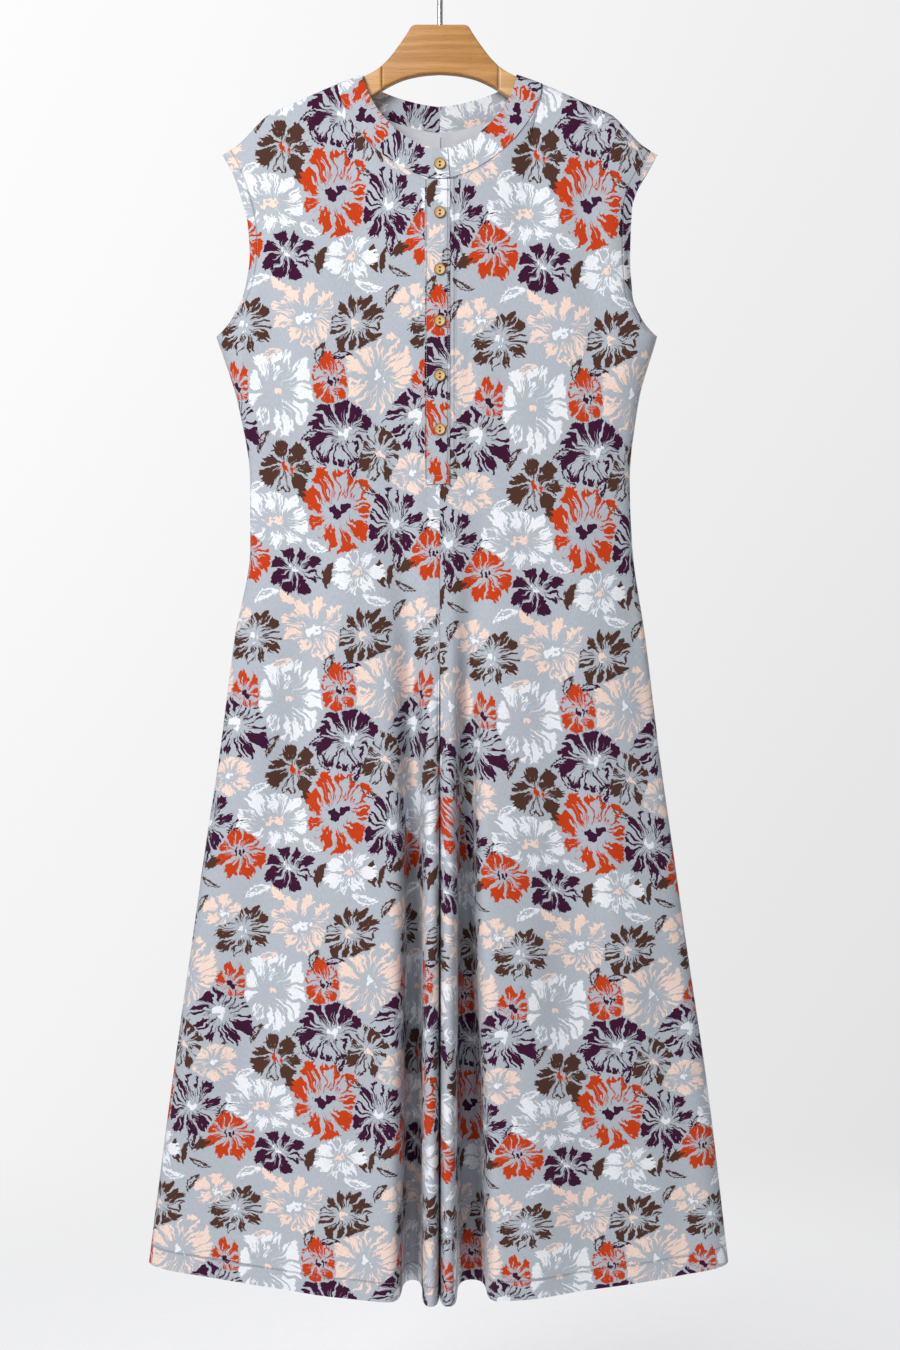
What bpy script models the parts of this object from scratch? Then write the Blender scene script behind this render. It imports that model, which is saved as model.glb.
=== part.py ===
"""Sleeveless wide-leg jumpsuit with a buttoned neck placket, on a wooden hanger.

Frame: +Z up, the front faces -Y and +X is the viewer's right. The origin is the
inner top of the hook, where a rail carries it. Every length below is in
millimetres. A drop is measured down from a level DATUM below the origin, an out is
the distance forward of the hanger's middle plane (or behind it, on the back), and
every other length is measured from the centre line.
"""
import math

import bmesh
import bpy
import numpy as np

MM = 0.001
DATUM = 20            # how far below the rail the drops are measured from

# Cloth
WALL = 1.4            # one layer of cloth, as a wall
BAND_WALL = 1.8       # the neckband is double
SEAM_GAP = 0.3        # between pieces that are sewn together
LAYER_STEP = WALL + SEAM_GAP
BAND_STEP = BAND_WALL + SEAM_GAP
RETURN = 1.3          # straight bit of cloth just before a seam

# Drops of the main levels
SHOULDER_TIP = 203
UNDERARM = 403
PLACKET_END = 561
BACK_FORK = 806       # where the back seam starts to run forward under the crotch
CROTCH = 874
HEM = 1440
HEM_RISE = 23         # how much the hem climbs towards the side seam

# Neck
NECK_HALF = 111.5
NECK_DROP = 124.6
FRONT_NECK_DEPTH = 110.5
BACK_NECK_DEPTH = 46.5
FRONT_NECK_POWER = 1.21
BACK_NECK_POWER = 1.38
BAND_TOP_HALF = 84
BAND_TOP_DROP = 114.6
FRONT_BAND_DEPTH = 88
BACK_BAND_DEPTH = 28.5
NECK_SEAM = 0.06      # share of the band's width kept clear of the panels
NECK_CROWDING = 1.6   # draws the neck's columns together over the hanger

# Where the cloth folds over the hanger's arm
FOLD_RADIUS = 9
ARM_COVER = 10        # how far out the cloth hangs just below the arm
BELLY = 0.45          # shares of the way from the pleat to the side seam
FLANK = 0.8
CREST_SPAN = 3        # how much wider than a fold's half the pleat's crest is

# Placket
UPPER_LEFT = -16
UPPER_RIGHT = 10.5
SLIT_LEFT = 13        # how far the slit reaches into the left panel
SLIT_RIGHT = 18       # and into the right panel
UPPER_END = 567
STRIP_START = 0.6     # below the neck seam; the upper strip starts at twice this

# Neckband's laps at the front, as distances from the centre line
LEFT_LAP = (-UPPER_RIGHT, -0.5, SLIT_LEFT + 1)
LEFT_LAP_END = 24
RIGHT_LAP = (-SLIT_LEFT, 0.5)
BACK_LAST = 6         # the last column before the seam at centre back

# Hanger and hook
BOARD_HALF = 6
BOARD_ROUND = 3.2
ARM_CLEARANCE = 3.2
ARM_JOINT = 64
ARM_END = 192
WOOD_TOP = 60
HOOK_ROD = 3
HOOK_INNER = 17
HOOK_SOCKET = 12
SOCKET_CLEARANCE = 0.3
HOOK_JOIN = -25       # where the rod runs into the curl, in degrees round it
HOOK_TIP = 205        # where the curl ends
HOOK_NECK = 10        # how far below the curl the rod starts to bend
HOOK_EASE = (9, 11)   # how gently it leaves the rod and meets the curl

# Buttons
BUTTON_RADIUS = 6.3
BUTTON_THICKNESS = 2.6
BUTTON_EDGE = 0.5
BUTTON_HOLE = 0.9
BUTTON_HOLE_APART = 3.6
BUTTON_DROPS = (220, 273, 335, 391, 450, 508)

# One row a section of a front or back panel, from the underarm to the hem. Across
# a row: the side seam, the flat part beside it, then the crest, the valley and the
# inner fold of the pleat next to the centre, each with its out, the seam itself
# (0 is the centre seam, more is the inseam) and half the width of a fold's top.
COLUMNS = ("drop", "side", "side_out", "flank_out", "belly_out", "crest", "crest_out",
           "valley", "valley_out", "fold", "fold_out", "seam", "seam_out", "half")
FRONT_LEFT = (
    (403, 245, 16, 25, 30, 84, 31, 48, 32, 13, 32, 0, 32, 5),
    (480, 221, 14, 23, 28, 84, 29, 48, 29, 13, 30, 0, 30, 5),
    (566, 208, 12, 19, 24, 82, 27, 48, 26, 13, 28, 0, 28, 5),
    (640, 208, 12, 20, 26, 72, 29, 40, 25, 13, 31, 0, 31, 5),
    (740, 225, 13, 23, 29, 60, 34, 33, 20, 10, 36, 0, 35, 5),
    (874, 242, 14, 26, 33, 52, 44, 30, 11, 10, 47, 1.4, 38, 5.5),
    (960, 255, 15, 27, 37, 46, 54, 29, 5, 10, 60, 2, 39, 6),
    (1090, 273, 17, 29, 41, 46, 63, 29, 1, 10, 72, 2.5, 40, 6.5),
    (1250, 295, 19, 31, 44, 47, 69, 30, 0, 10, 80, 3, 40, 6.5),
    (1440, 319, 21, 33, 47, 49, 74, 31, -2, 10, 86, 3, 40, 6.5),
)
FRONT_RIGHT = (
    (403, 238, 16, 25, 30, 88, 31, 52, 32, 18, 32, 0, 32, 5),
    (480, 217, 14, 23, 28, 86, 29, 52, 29, 18, 30, 0, 30, 5),
    (566, 208, 12, 19, 24, 84, 27, 50, 26, 18, 28, 0, 28, 5),
    (640, 211, 12, 20, 26, 70, 29, 42, 26, 14, 31, 0, 31, 5),
    (740, 225, 13, 23, 29, 58, 33, 33, 22, 11, 36, 0, 35, 5),
    (874, 241, 14, 26, 33, 50, 43, 30, 13, 11, 47, 1.4, 38, 5.5),
    (960, 253, 15, 27, 37, 46, 55, 30, 6, 12, 61, 2, 39, 6),
    (1090, 271, 17, 29, 41, 49, 63, 31, 1, 13, 72, 2.5, 40, 7),
    (1250, 294, 19, 31, 44, 54, 68, 34, -1, 12, 80, 3, 40, 7),
    (1440, 316, 21, 33, 47, 58, 72, 36, -3, 11, 86, 3, 40, 6.5),
)
BACK = (
    (403, 241, 14, 24, 29, 90, 28, 52, 27, 22, 27, 0, 27, 8),
    (480, 218, 12, 22, 27, 90, 26, 54, 24, 22, 26, 0, 26, 8),
    (566, 208, 11, 18, 24, 88, 24, 54, 22, 22, 24, 0, 24, 8),
    (640, 214, 11, 19, 26, 88, 27, 54, 24, 22, 25, 0, 25, 8),
    (740, 231, 12, 23, 32, 92, 34, 56, 28, 22, 30, 0, 29, 8),
    (806, 242, 13, 24, 34, 94, 38, 56, 28, 20, 33, 0.5, 32, 8),
    (840, 248, 13, 25, 35, 95, 40, 56, 29, 16, 36, 1.6, 4, 9),
    (874, 254, 14, 26, 36, 96, 41, 56, 30, 13, 40, 1.6, -38, 10),
    (960, 268, 15, 28, 38, 98, 46, 56, 31, 13, 48, 2, -39, 10),
    (1090, 286, 16, 30, 40, 102, 52, 58, 32, 13, 54, 2.5, -40, 10),
    (1250, 301, 18, 31, 42, 108, 56, 62, 33, 14, 57, 3, -40, 11),
    (1440, 317, 20, 32, 44, 116, 60, 66, 34, 15, 60, 3, -40, 12),
)
LOWER_ROWS = (403, 450, 505, 561, 620, 680, 740, 790, 806, 840, 874, 915, 960, 1020,
              1090, 1170, 1260, 1350, 1440)
UPPER_SHARES = (0.1, 0.28, 0.5, 0.72, 0.9)
TOP_STEPS = (9, 2.5, 0)      # drops below the shoulder line where the last rows lie

# Half-widths of the armhole by drop, and the shoulder line's drop by half-width
ARMHOLE_LEFT = ((203, 239), (221, 229), (245, 220), (283, 210), (315, 208), (350, 213),
                (386, 230), (403, 245))
ARMHOLE_RIGHT = ((203, 239), (221, 229), (242, 217), (266, 210), (316, 208), (360, 211),
                 (386, 223), (403, 238))
SHOULDER = ((84, 114.6), (111.5, 124.6), (158, 145), (190, 160), (205, 175), (222, 192),
            (239, 203))
ARMHOLE_OUT = 11             # how far each armhole edge stands off the middle plane
ARMHOLE_START = 0.5          # how far the side seam has parted at the underarm
TIP_OUT = 3

NECK_COLUMN = 13             # the panel's column that meets the neck's shoulder end
LAST_COLUMN = 20
SPLINE_STEPS = 2
STRIP_ROWS = 9


def column(table, name):
    """Return one named column of a section table."""
    return np.array([row[COLUMNS.index(name)] for row in table], dtype=float)


def ease(knots, values, at):
    """Interpolate smoothly through the knots without overshooting any of them."""
    knots = np.asarray(knots, dtype=float)
    values = np.asarray(values, dtype=float)
    steps = np.diff(knots)
    slopes = np.diff(values) / steps
    tangents = np.zeros_like(values)
    same_way = slopes[1:] * slopes[:-1] > 0
    total = np.where(same_way, slopes[1:] + slopes[:-1], 1.0)
    tangents[1:-1] = np.where(same_way, 2 * slopes[1:] * slopes[:-1] / total, 0.0)
    tangents[0] = slopes[0]
    tangents[-1] = slopes[-1]
    at = np.clip(at, knots[0], knots[-1])
    cell = np.clip(np.searchsorted(knots, at) - 1, 0, len(steps) - 1)
    width = steps[cell]
    u = (at - knots[cell]) / width
    return (values[cell] * (1 + 2 * u) * (1 - u) ** 2
            + values[cell + 1] * u * u * (3 - 2 * u)
            + width * u * (1 - u) * (tangents[cell] * (1 - u) - tangents[cell + 1] * u))


def rounded_path(corners, steps):
    """Round a path's corners with parabolas that touch the middle of each stretch."""
    corners = np.asarray(corners, dtype=float)
    middles = (corners[1:-2] + corners[2:-1]) / 2
    starts = np.vstack((corners[:1], middles))
    ends = np.vstack((middles, corners[-1:]))
    points = []
    for start, corner, end in zip(starts, corners[1:-1], ends):
        for step in range(steps):
            u = step / steps
            points.append((1 - u) ** 2 * start + 2 * u * (1 - u) * corner + u * u * end)
    points.append(corners[-1])
    return np.array(points)


def section(table, drop, turned):
    """Return a panel's section at a drop as (across, out) pairs, centre to side."""
    at = {name: float(ease(column(table, "drop"), column(table, name), drop))
          for name in COLUMNS[1:]}
    if turned:
        start = (at["seam"], at["seam_out"] + RETURN)
        end = (at["seam"], at["seam_out"] + SEAM_GAP / 2)
    else:
        start = (at["seam"] + SEAM_GAP / 2 + RETURN, at["seam_out"])
        end = (at["seam"] + SEAM_GAP / 2, at["seam_out"])
    flat = at["side"] - at["crest"]
    corners = (
        start,
        (at["fold"] - at["half"], at["fold_out"]),
        (at["fold"] + at["half"], at["fold_out"]),
        (at["valley"] - at["half"], at["valley_out"]),
        (at["valley"] + at["half"], at["valley_out"]),
        (at["crest"] - at["half"], at["crest_out"]),
        (at["crest"] + CREST_SPAN * at["half"], at["crest_out"]),
        (at["crest"] + BELLY * flat, at["belly_out"]),
        (at["crest"] + FLANK * flat, at["flank_out"]),
        (at["side"], at["side_out"]),
        (at["side"], RETURN),
    )
    path = rounded_path(corners, SPLINE_STEPS)
    return np.vstack((end, path, (at["side"], SEAM_GAP / 2)))


def shoulder_drop(across):
    """Drop of the line along which the cloth folds over the hanger's arm."""
    return ease([row[0] for row in SHOULDER], [row[1] for row in SHOULDER], across)


def folded_over(across, drop, out):
    """Bring a point's out to nothing, in an arc, where it nears the shoulder line."""
    below = np.clip(drop - shoulder_drop(np.abs(across)), 0, FOLD_RADIUS)
    return out * np.sqrt(1 - (1 - below / FOLD_RADIUS) ** 2)


def neck_shares(first_share, first_column):
    """Shares of the way from the centre to the shoulder, one a column of the neck."""
    left = np.arange(NECK_COLUMN - first_column, -1, -1) / (NECK_COLUMN - first_column)
    return 1 - (1 - first_share) * left ** NECK_CROWDING


def neck_curve(share, half, top, depth, power, centre_out):
    """A neck edge's (across, drop, out) at a share of the way to the shoulder."""
    turn = share * math.pi / 2
    out = ARM_COVER + (centre_out - ARM_COVER) * math.cos(turn)
    return np.array((half * math.sin(turn) ** power,
                     top + depth * max(math.cos(turn), 0.0) ** power, out))


class Side:
    """Measures that set a front panel apart from a back one."""

    def __init__(self, facing, neck_depth, band_depth, power, neck_out, band_out, fork):
        self.facing = facing          # -1 in front, +1 behind
        self.neck_depth = neck_depth
        self.band_depth = band_depth
        self.power = power
        self.neck_out = neck_out
        self.band_out = band_out
        self.fork = fork              # from this drop the seam is the inseam

    def neck_edge(self, share):
        """The seam between panel and neckband."""
        return neck_curve(share, NECK_HALF, NECK_DROP, self.neck_depth, self.power,
                          self.neck_out)

    def band_edge(self, share):
        """The neckband's free edge."""
        return neck_curve(share, BAND_TOP_HALF, BAND_TOP_DROP, self.band_depth,
                          self.power, self.band_out)

    def share_at(self, across):
        """The share of the way to the shoulder at which the seam is this far across."""
        return math.asin((across / NECK_HALF) ** (1 / self.power)) / (math.pi / 2)


FRONT_SIDE = Side(-1, FRONT_NECK_DEPTH, FRONT_BAND_DEPTH, FRONT_NECK_POWER, 28, 25, CROTCH)
BACK_SIDE = Side(1, BACK_NECK_DEPTH, BACK_BAND_DEPTH, BACK_NECK_POWER, 24, 20, BACK_FORK + 1)


def panel_grid(table, armhole, side, first_column):
    """Rows of (across, drop, out) points for one panel, from its hem to its top edge."""
    rows = []
    for drop in reversed(LOWER_ROWS):
        path = section(table, drop, drop >= side.fork)
        rise = HEM_RISE * (drop - UNDERARM) / (HEM - UNDERARM)
        drops = drop - rise * (path[:, 0] / path[-1, 0]) ** 2
        rows.append(np.column_stack((path[:, 0], drops, path[:, 1])))
    rows[-1][-1, 2] += ARMHOLE_START

    base = rows[-1].copy()
    base[-1] = base[-2]
    edge = base.copy()
    first_share = side.share_at(base[max(first_column, 1), 0])
    shares = neck_shares(first_share, max(first_column, 1))
    for offset, share in enumerate(shares):
        edge[max(first_column, 1) + offset] = side.neck_edge(share)
    if first_column == 0:
        edge[0] = edge[1]
        edge[0, 0] = SEAM_GAP / 2
    else:
        edge[:first_column, 1:] = edge[first_column, 1:]
    spread = np.linspace(0, 1, LAST_COLUMN - NECK_COLUMN)
    tip = armhole[0][1] - RETURN
    edge[NECK_COLUMN:-1, 0] = NECK_HALF + (tip - NECK_HALF) * spread
    edge[NECK_COLUMN:-1, 1] = shoulder_drop(edge[NECK_COLUMN:-1, 0])
    edge[NECK_COLUMN:-1, 2] = ARM_COVER + (TIP_OUT - ARM_COVER) * spread ** 5
    edge[-1] = edge[-2]

    heights = base[:, 1] - edge[:, 1]
    anchor = base[first_column, 0]
    lean = np.clip((base[:, 0] - anchor) / (base[-1, 0] - anchor), 0, 1)
    levels = [np.full(LAST_COLUMN + 1, share) for share in UPPER_SHARES]
    levels += [1 - step / heights for step in TOP_STEPS]
    armhole_drops = [row[0] for row in armhole]
    armhole_widths = [row[1] for row in armhole]
    for level in levels:
        points = base + (edge - base) * level[:, None]
        drop = UNDERARM - (UNDERARM - SHOULDER_TIP) * level[-1]
        pull = ease(armhole_drops, armhole_widths, drop) - RETURN - points[-1, 0]
        points[:, 0] += lean * pull
        points[:, 2] += lean ** 4 * ARMHOLE_OUT * math.sin(math.pi * level[-1]) ** 0.7
        points[-1, 0] += RETURN
        points[:, 2] = folded_over(points[:, 0], points[:, 1], points[:, 2])
        rows.append(points)
    closed = rows[-1].copy()
    closed[NECK_COLUMN:, 2] = SEAM_GAP / 2
    rows[-1][NECK_COLUMN:, 2] = RETURN
    rows[-1][:NECK_COLUMN, 1] += RETURN
    rows.append(closed)
    return np.array(rows)


def to_world(points, mirror, facing):
    """Turn (across, drop, out) points in millimetres into world metres."""
    across, drop, out = np.moveaxis(np.asarray(points, dtype=float), -1, 0)
    return np.stack((mirror * across, facing * out, -drop - DATUM), axis=-1) * MM


def finish_object(name, mesh, material, collection):
    """Make an object of the mesh, with its material, in the collection."""
    mesh.materials.append(material)
    part = bpy.data.objects.new(name, mesh)
    collection.objects.link(part)
    return part


def make_material(name, colour, roughness, metallic=0.0):
    material = bpy.data.materials.new(name)
    material.use_nodes = True
    shader = material.node_tree.nodes["Principled BSDF"]
    shader.inputs["Base Color"].default_value = (*colour, 1.0)
    shader.inputs["Roughness"].default_value = roughness
    shader.inputs["Metallic"].default_value = metallic
    return material


def cloth_piece(name, grid, wall, material, collection, leave_out=None):
    """Loft a sheet through a grid of world points and thicken it into a wall."""
    leave_out = leave_out or (lambda row, col: False)
    height, width = grid.shape[:2]
    shape = bmesh.new()
    verts = [[shape.verts.new(point) for point in row] for row in grid]
    for row in range(height - 1):
        for col in range(width - 1):
            if not leave_out(row, col):
                shape.faces.new((verts[row][col], verts[row][col + 1],
                                 verts[row + 1][col + 1], verts[row + 1][col]))
    loose = [vert for vert in shape.verts if not vert.link_faces]
    bmesh.ops.delete(shape, geom=loose, context="VERTS")
    bmesh.ops.recalc_face_normals(shape, faces=shape.faces)
    mesh = bpy.data.meshes.new(name)
    shape.to_mesh(mesh)
    shape.free()
    mesh.shade_smooth()
    piece = finish_object(name, mesh, material, collection)
    thicken = piece.modifiers.new("Wall", "SOLIDIFY")
    thicken.thickness = wall * MM
    thicken.offset = 0.0
    return piece


def build_panels(material, collection):
    """The four main pieces: left and right, front and back, each neck to hem."""
    placket_row = LOWER_ROWS[::-1].index(PLACKET_END)
    slit_column = 3

    def in_slit(row, col):
        return row >= placket_row and col < slit_column

    grids = {}
    for label, mirror, table, armhole in (("left", -1, FRONT_LEFT, ARMHOLE_LEFT),
                                          ("right", 1, FRONT_RIGHT, ARMHOLE_RIGHT)):
        front = panel_grid(table, armhole, FRONT_SIDE, slit_column)
        back_table = [(row[0], float(ease(column(table, "drop"), column(table, "side"),
                                          row[0])), *row[2:]) for row in BACK]
        back = panel_grid(back_table, armhole, BACK_SIDE, 0)
        grids["front_" + label] = front
        grids["back_" + label] = back
        cloth_piece("front_" + label, to_world(front, mirror, -1), WALL, material,
                    collection, in_slit)
        cloth_piece("back_" + label, to_world(back, mirror, 1), WALL, material, collection)
    return grids


def centre_out(drop):
    """How far out the front stands along its centre line."""
    chest = column(FRONT_LEFT, "fold_out")[0]
    neck = FRONT_SIDE.neck_out
    start = NECK_DROP + FRONT_NECK_DEPTH
    above = neck + (chest - neck) * (drop - start) / (UNDERARM - start)
    below = ease(column(FRONT_LEFT, "drop"), column(FRONT_LEFT, "fold_out"), drop)
    return np.where(np.asarray(drop) < UNDERARM, above, below)


def build_placket(material, collection):
    """Two strips down the slit: the upper one with buttonholes laps over the under one."""
    start = NECK_DROP + FRONT_NECK_DEPTH
    drops = np.linspace(start + 2 * STRIP_START, UPPER_END, STRIP_ROWS)
    across = np.array((UPPER_LEFT, 0, UPPER_RIGHT))
    upper = [[(x, drop, centre_out(drop) + LAYER_STEP) for x in across] for drop in drops]
    cloth_piece("placket_upper", to_world(upper, 1, -1), WALL, material, collection)
    drops = np.linspace(start + STRIP_START, PLACKET_END - 2 * SEAM_GAP, STRIP_ROWS)
    across = np.array((-SLIT_LEFT + SEAM_GAP, 0, SLIT_RIGHT - SEAM_GAP))
    under = [[(x, drop, centre_out(drop)) for x in across] for drop in drops]
    cloth_piece("placket_under", to_world(under, 1, -1), WALL, material, collection)


def band_column(side, share, mirror, lift=0.0):
    """Three world points across the neckband, from its seam to its free edge."""
    low = side.neck_edge(share)
    high = side.band_edge(share)
    points = []
    for step in (NECK_SEAM, 0.5, 1.0):
        point = low + (high - low) * step
        point[2] = folded_over(point[0], point[1], point[2]) + lift
        points.append(point)
    return to_world(points, mirror, side.facing)


def build_band(name, mirror, lap, lap_lift, shares, material, collection):
    """Half of the neckband, from its lap at the front to the seam at centre back."""
    columns = []
    for across in lap:
        share = FRONT_SIDE.share_at(abs(across))
        way = mirror if across > 0 else -mirror
        columns.append(band_column(FRONT_SIDE, share, way, lap_lift))
    columns += [band_column(FRONT_SIDE, share, mirror) for share in shares["front"]]
    behind = shares["back"][::-1]
    columns += [band_column(BACK_SIDE, share, mirror) for share in behind[1:]]
    centre = [np.array(point) for point in columns[-1]]
    for point in centre:
        point[0] = mirror * SEAM_GAP / 2 * MM
    columns.append(np.array(centre))
    cloth_piece(name, np.array(columns), BAND_WALL, material, collection)


def build_bands(material, collection):
    """The neckband: the left half laps over the right one at the front."""
    back = neck_shares(BACK_SIDE.share_at(BACK_LAST), 1)
    left = {"front": neck_shares(FRONT_SIDE.share_at(LEFT_LAP_END), 4), "back": back}
    right = {"front": neck_shares(FRONT_SIDE.share_at(SLIT_RIGHT), 3), "back": back}
    build_band("neckband_left", -1, LEFT_LAP, BAND_STEP, left, material, collection)
    build_band("neckband_right", 1, RIGHT_LAP, 0.0, right, material, collection)


def build_buttons(material, collection, cutters):
    """Six round buttons with two holes each, one on the band and five on the placket."""
    for number, drop in enumerate(BUTTON_DROPS, 1):
        name = f"button_{number}"
        shape = bmesh.new()
        bmesh.ops.create_cone(shape, cap_ends=True, segments=24, radius1=BUTTON_RADIUS * MM,
                              radius2=BUTTON_RADIUS * MM, depth=BUTTON_THICKNESS * MM)
        mesh = bpy.data.meshes.new(name)
        shape.to_mesh(mesh)
        shape.free()
        button = finish_object(name, mesh, material, collection)
        surface = centre_out(drop) + LAYER_STEP + WALL / 2
        if number == 1:
            surface = band_button_out()
        out = surface + SEAM_GAP + BUTTON_THICKNESS / 2
        button.location = (0.0, -out * MM, -(drop + DATUM) * MM)
        button.rotation_euler.x = math.pi / 2
        edge = button.modifiers.new("Edge", "BEVEL")
        edge.width = BUTTON_EDGE * MM
        edge.segments = 1
        edge.limit_method = "ANGLE"
        for way in (-1, 1):
            punch = bmesh.new()
            bmesh.ops.create_cone(punch, cap_ends=True, segments=10,
                                  radius1=BUTTON_HOLE * MM, radius2=BUTTON_HOLE * MM,
                                  depth=3 * BUTTON_THICKNESS * MM)
            cutter_mesh = bpy.data.meshes.new("hole")
            punch.to_mesh(cutter_mesh)
            punch.free()
            cutter = bpy.data.objects.new(f"hole_{number}_{way + 2}", cutter_mesh)
            cutters.objects.link(cutter)
            up = way * BUTTON_HOLE_APART / 2 - drop - DATUM
            cutter.location = (0.0, -out * MM, up * MM)
            cutter.rotation_euler.x = math.pi / 2
            cut = button.modifiers.new("Hole", "BOOLEAN")
            cut.operation = "DIFFERENCE"
            cut.object = cutter


def band_button_out():
    """How far out the neckband's outer face stands at its button."""
    low = FRONT_SIDE.neck_edge(0)
    high = FRONT_SIDE.band_edge(0)
    share = (low[1] - BUTTON_DROPS[0]) / (low[1] - high[1])
    return low[2] + (high[2] - low[2]) * share + BAND_STEP + BAND_WALL / 2 + SEAM_GAP


HEAD_UPPER = ((0, 60), (26, 60), (30, 61), (32.5, 63.5), (34.5, 67), (39, 74), (46, 84),
              (57, 98), (70, 109.5), (84, 117))
UNDERSIDE = ((0, 113), (15, 114), (36, 118), (57, 127), (74, 138), (95, 148), (120, 158),
             (150, 170), (178, 184))


def wood_top(across):
    """Drop of the hanger's upper edge."""
    head = ease([row[0] for row in HEAD_UPPER], [row[1] for row in HEAD_UPPER], across)
    arm = shoulder_drop(across) + ARM_CLEARANCE
    return np.where(np.asarray(across) < BAND_TOP_HALF, head, arm)


def wood_bottom(across):
    """Drop of the hanger's lower edge."""
    return ease([row[0] for row in UNDERSIDE], [row[1] for row in UNDERSIDE], across)


def build_board(name, outline, material, collection):
    """A flat wooden piece with rounded edges, from its outline seen from the front."""
    curve = bpy.data.curves.new(name, "CURVE")
    curve.dimensions = "2D"
    curve.fill_mode = "BOTH"
    curve.extrude = (BOARD_HALF - BOARD_ROUND) * MM
    curve.bevel_depth = BOARD_ROUND * MM
    curve.bevel_resolution = 1
    curve.offset = -BOARD_ROUND * MM
    spline = curve.splines.new("POLY")
    spline.points.add(len(outline) - 1)
    for point, (across, drop) in zip(spline.points, outline):
        point.co = (across * MM, -(drop + DATUM) * MM, 0.0, 1.0)
    spline.use_cyclic_u = True
    board = bpy.data.objects.new(name, curve)
    board.rotation_euler.x = math.pi / 2
    curve.materials.append(material)
    collection.objects.link(board)
    return board


def to_mesh_object(part, collection):
    """Replace a curve object by its evaluated mesh, with the caps welded on."""
    bpy.context.view_layer.update()
    evaluated = part.evaluated_get(bpy.context.evaluated_depsgraph_get())
    mesh = bpy.data.meshes.new_from_object(evaluated)
    shape = bmesh.new()
    shape.from_mesh(mesh)
    bmesh.ops.remove_doubles(shape, verts=shape.verts, dist=0.00001)
    shape.to_mesh(mesh)
    shape.free()
    name = part.name
    place = part.matrix_world.copy()
    bpy.data.objects.remove(part)
    solid = bpy.data.objects.new(name, mesh)
    solid.matrix_world = place
    collection.objects.link(solid)
    return solid


def build_hanger(wood, arm_wood, steel, collection, cutters):
    """A shaped board: a head with two arms jointed to it, and a steel hook above."""
    across = np.concatenate((np.linspace(0, 34, 8), np.linspace(38, ARM_JOINT, 7)))
    upper = [(x, float(wood_top(x))) for x in across]
    across = np.linspace(0, ARM_JOINT, 9)
    lower = [(x, float(wood_bottom(x))) for x in across[::-1]]
    half = upper + lower
    mirrored = [(-x, drop) for x, drop in reversed(half) if x > 0]
    head = to_mesh_object(build_board("hanger_head", half + mirrored, wood, collection),
                          collection)

    upper = [(x, float(wood_top(x))) for x in np.linspace(ARM_JOINT + SEAM_GAP, 184, 14)]
    lower = [(x, float(wood_bottom(x)))
             for x in np.linspace(178, ARM_JOINT + SEAM_GAP, 10)]
    nose = [(189.5, 163.5), (ARM_END, 168), (ARM_END, 176), (189, 182.5), (184, 185)]
    for label, mirror in (("left", -1), ("right", 1)):
        outline = [(mirror * x, drop) for x, drop in upper + nose + lower]
        build_board("hanger_arm_" + label, outline, arm_wood, collection)

    socket = bmesh.new()
    radius = (HOOK_ROD + SOCKET_CLEARANCE) * MM
    bmesh.ops.create_cone(socket, cap_ends=True, segments=16, radius1=radius,
                          radius2=radius, depth=2 * (HOOK_SOCKET + SOCKET_CLEARANCE) * MM)
    mesh = bpy.data.meshes.new("hook_socket")
    socket.to_mesh(mesh)
    socket.free()
    cutter = bpy.data.objects.new("hook_socket", mesh)
    cutter.location.z = -(WOOD_TOP + DATUM) * MM
    cutters.objects.link(cutter)
    cut = head.modifiers.new("Socket", "BOOLEAN")
    cut.operation = "DIFFERENCE"
    cut.object = cutter
    build_hook(steel, collection)


def build_hook(steel, collection):
    """A round rod that rises from the head and curls over the rail."""
    ring = HOOK_INNER + HOOK_ROD
    centre = -HOOK_INNER
    foot = -(WOOD_TOP + DATUM + HOOK_SOCKET)
    neck = centre - ring - HOOK_NECK
    join = math.radians(HOOK_JOIN)
    ring_start = np.array((ring * math.cos(join), centre + ring * math.sin(join)))
    along = np.array((-math.sin(join), math.cos(join)))
    bends = np.array(((0, neck), (0, neck + HOOK_EASE[0]), ring_start - HOOK_EASE[1] * along,
                      ring_start))
    points = [(0.0, z) for z in np.linspace(foot, neck, 5)[:-1]]
    for u in np.linspace(0, 1, 8)[:-1]:
        weights = np.array(((1 - u) ** 3, 3 * u * (1 - u) ** 2, 3 * u * u * (1 - u), u ** 3))
        points.append(tuple(weights @ bends))
    for turn in np.radians(np.linspace(HOOK_JOIN, HOOK_TIP, 22)):
        points.append((ring * math.cos(turn), centre + ring * math.sin(turn)))
    curve = bpy.data.curves.new("hook", "CURVE")
    curve.dimensions = "3D"
    curve.bevel_depth = HOOK_ROD * MM
    curve.bevel_resolution = 2
    curve.use_fill_caps = True
    spline = curve.splines.new("POLY")
    spline.points.add(len(points) - 1)
    for point, (across, up) in zip(spline.points, points):
        point.co = (across * MM, 0.0, up * MM, 1.0)
    curve.materials.append(steel)
    collection.objects.link(bpy.data.objects.new("hook", curve))


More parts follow.
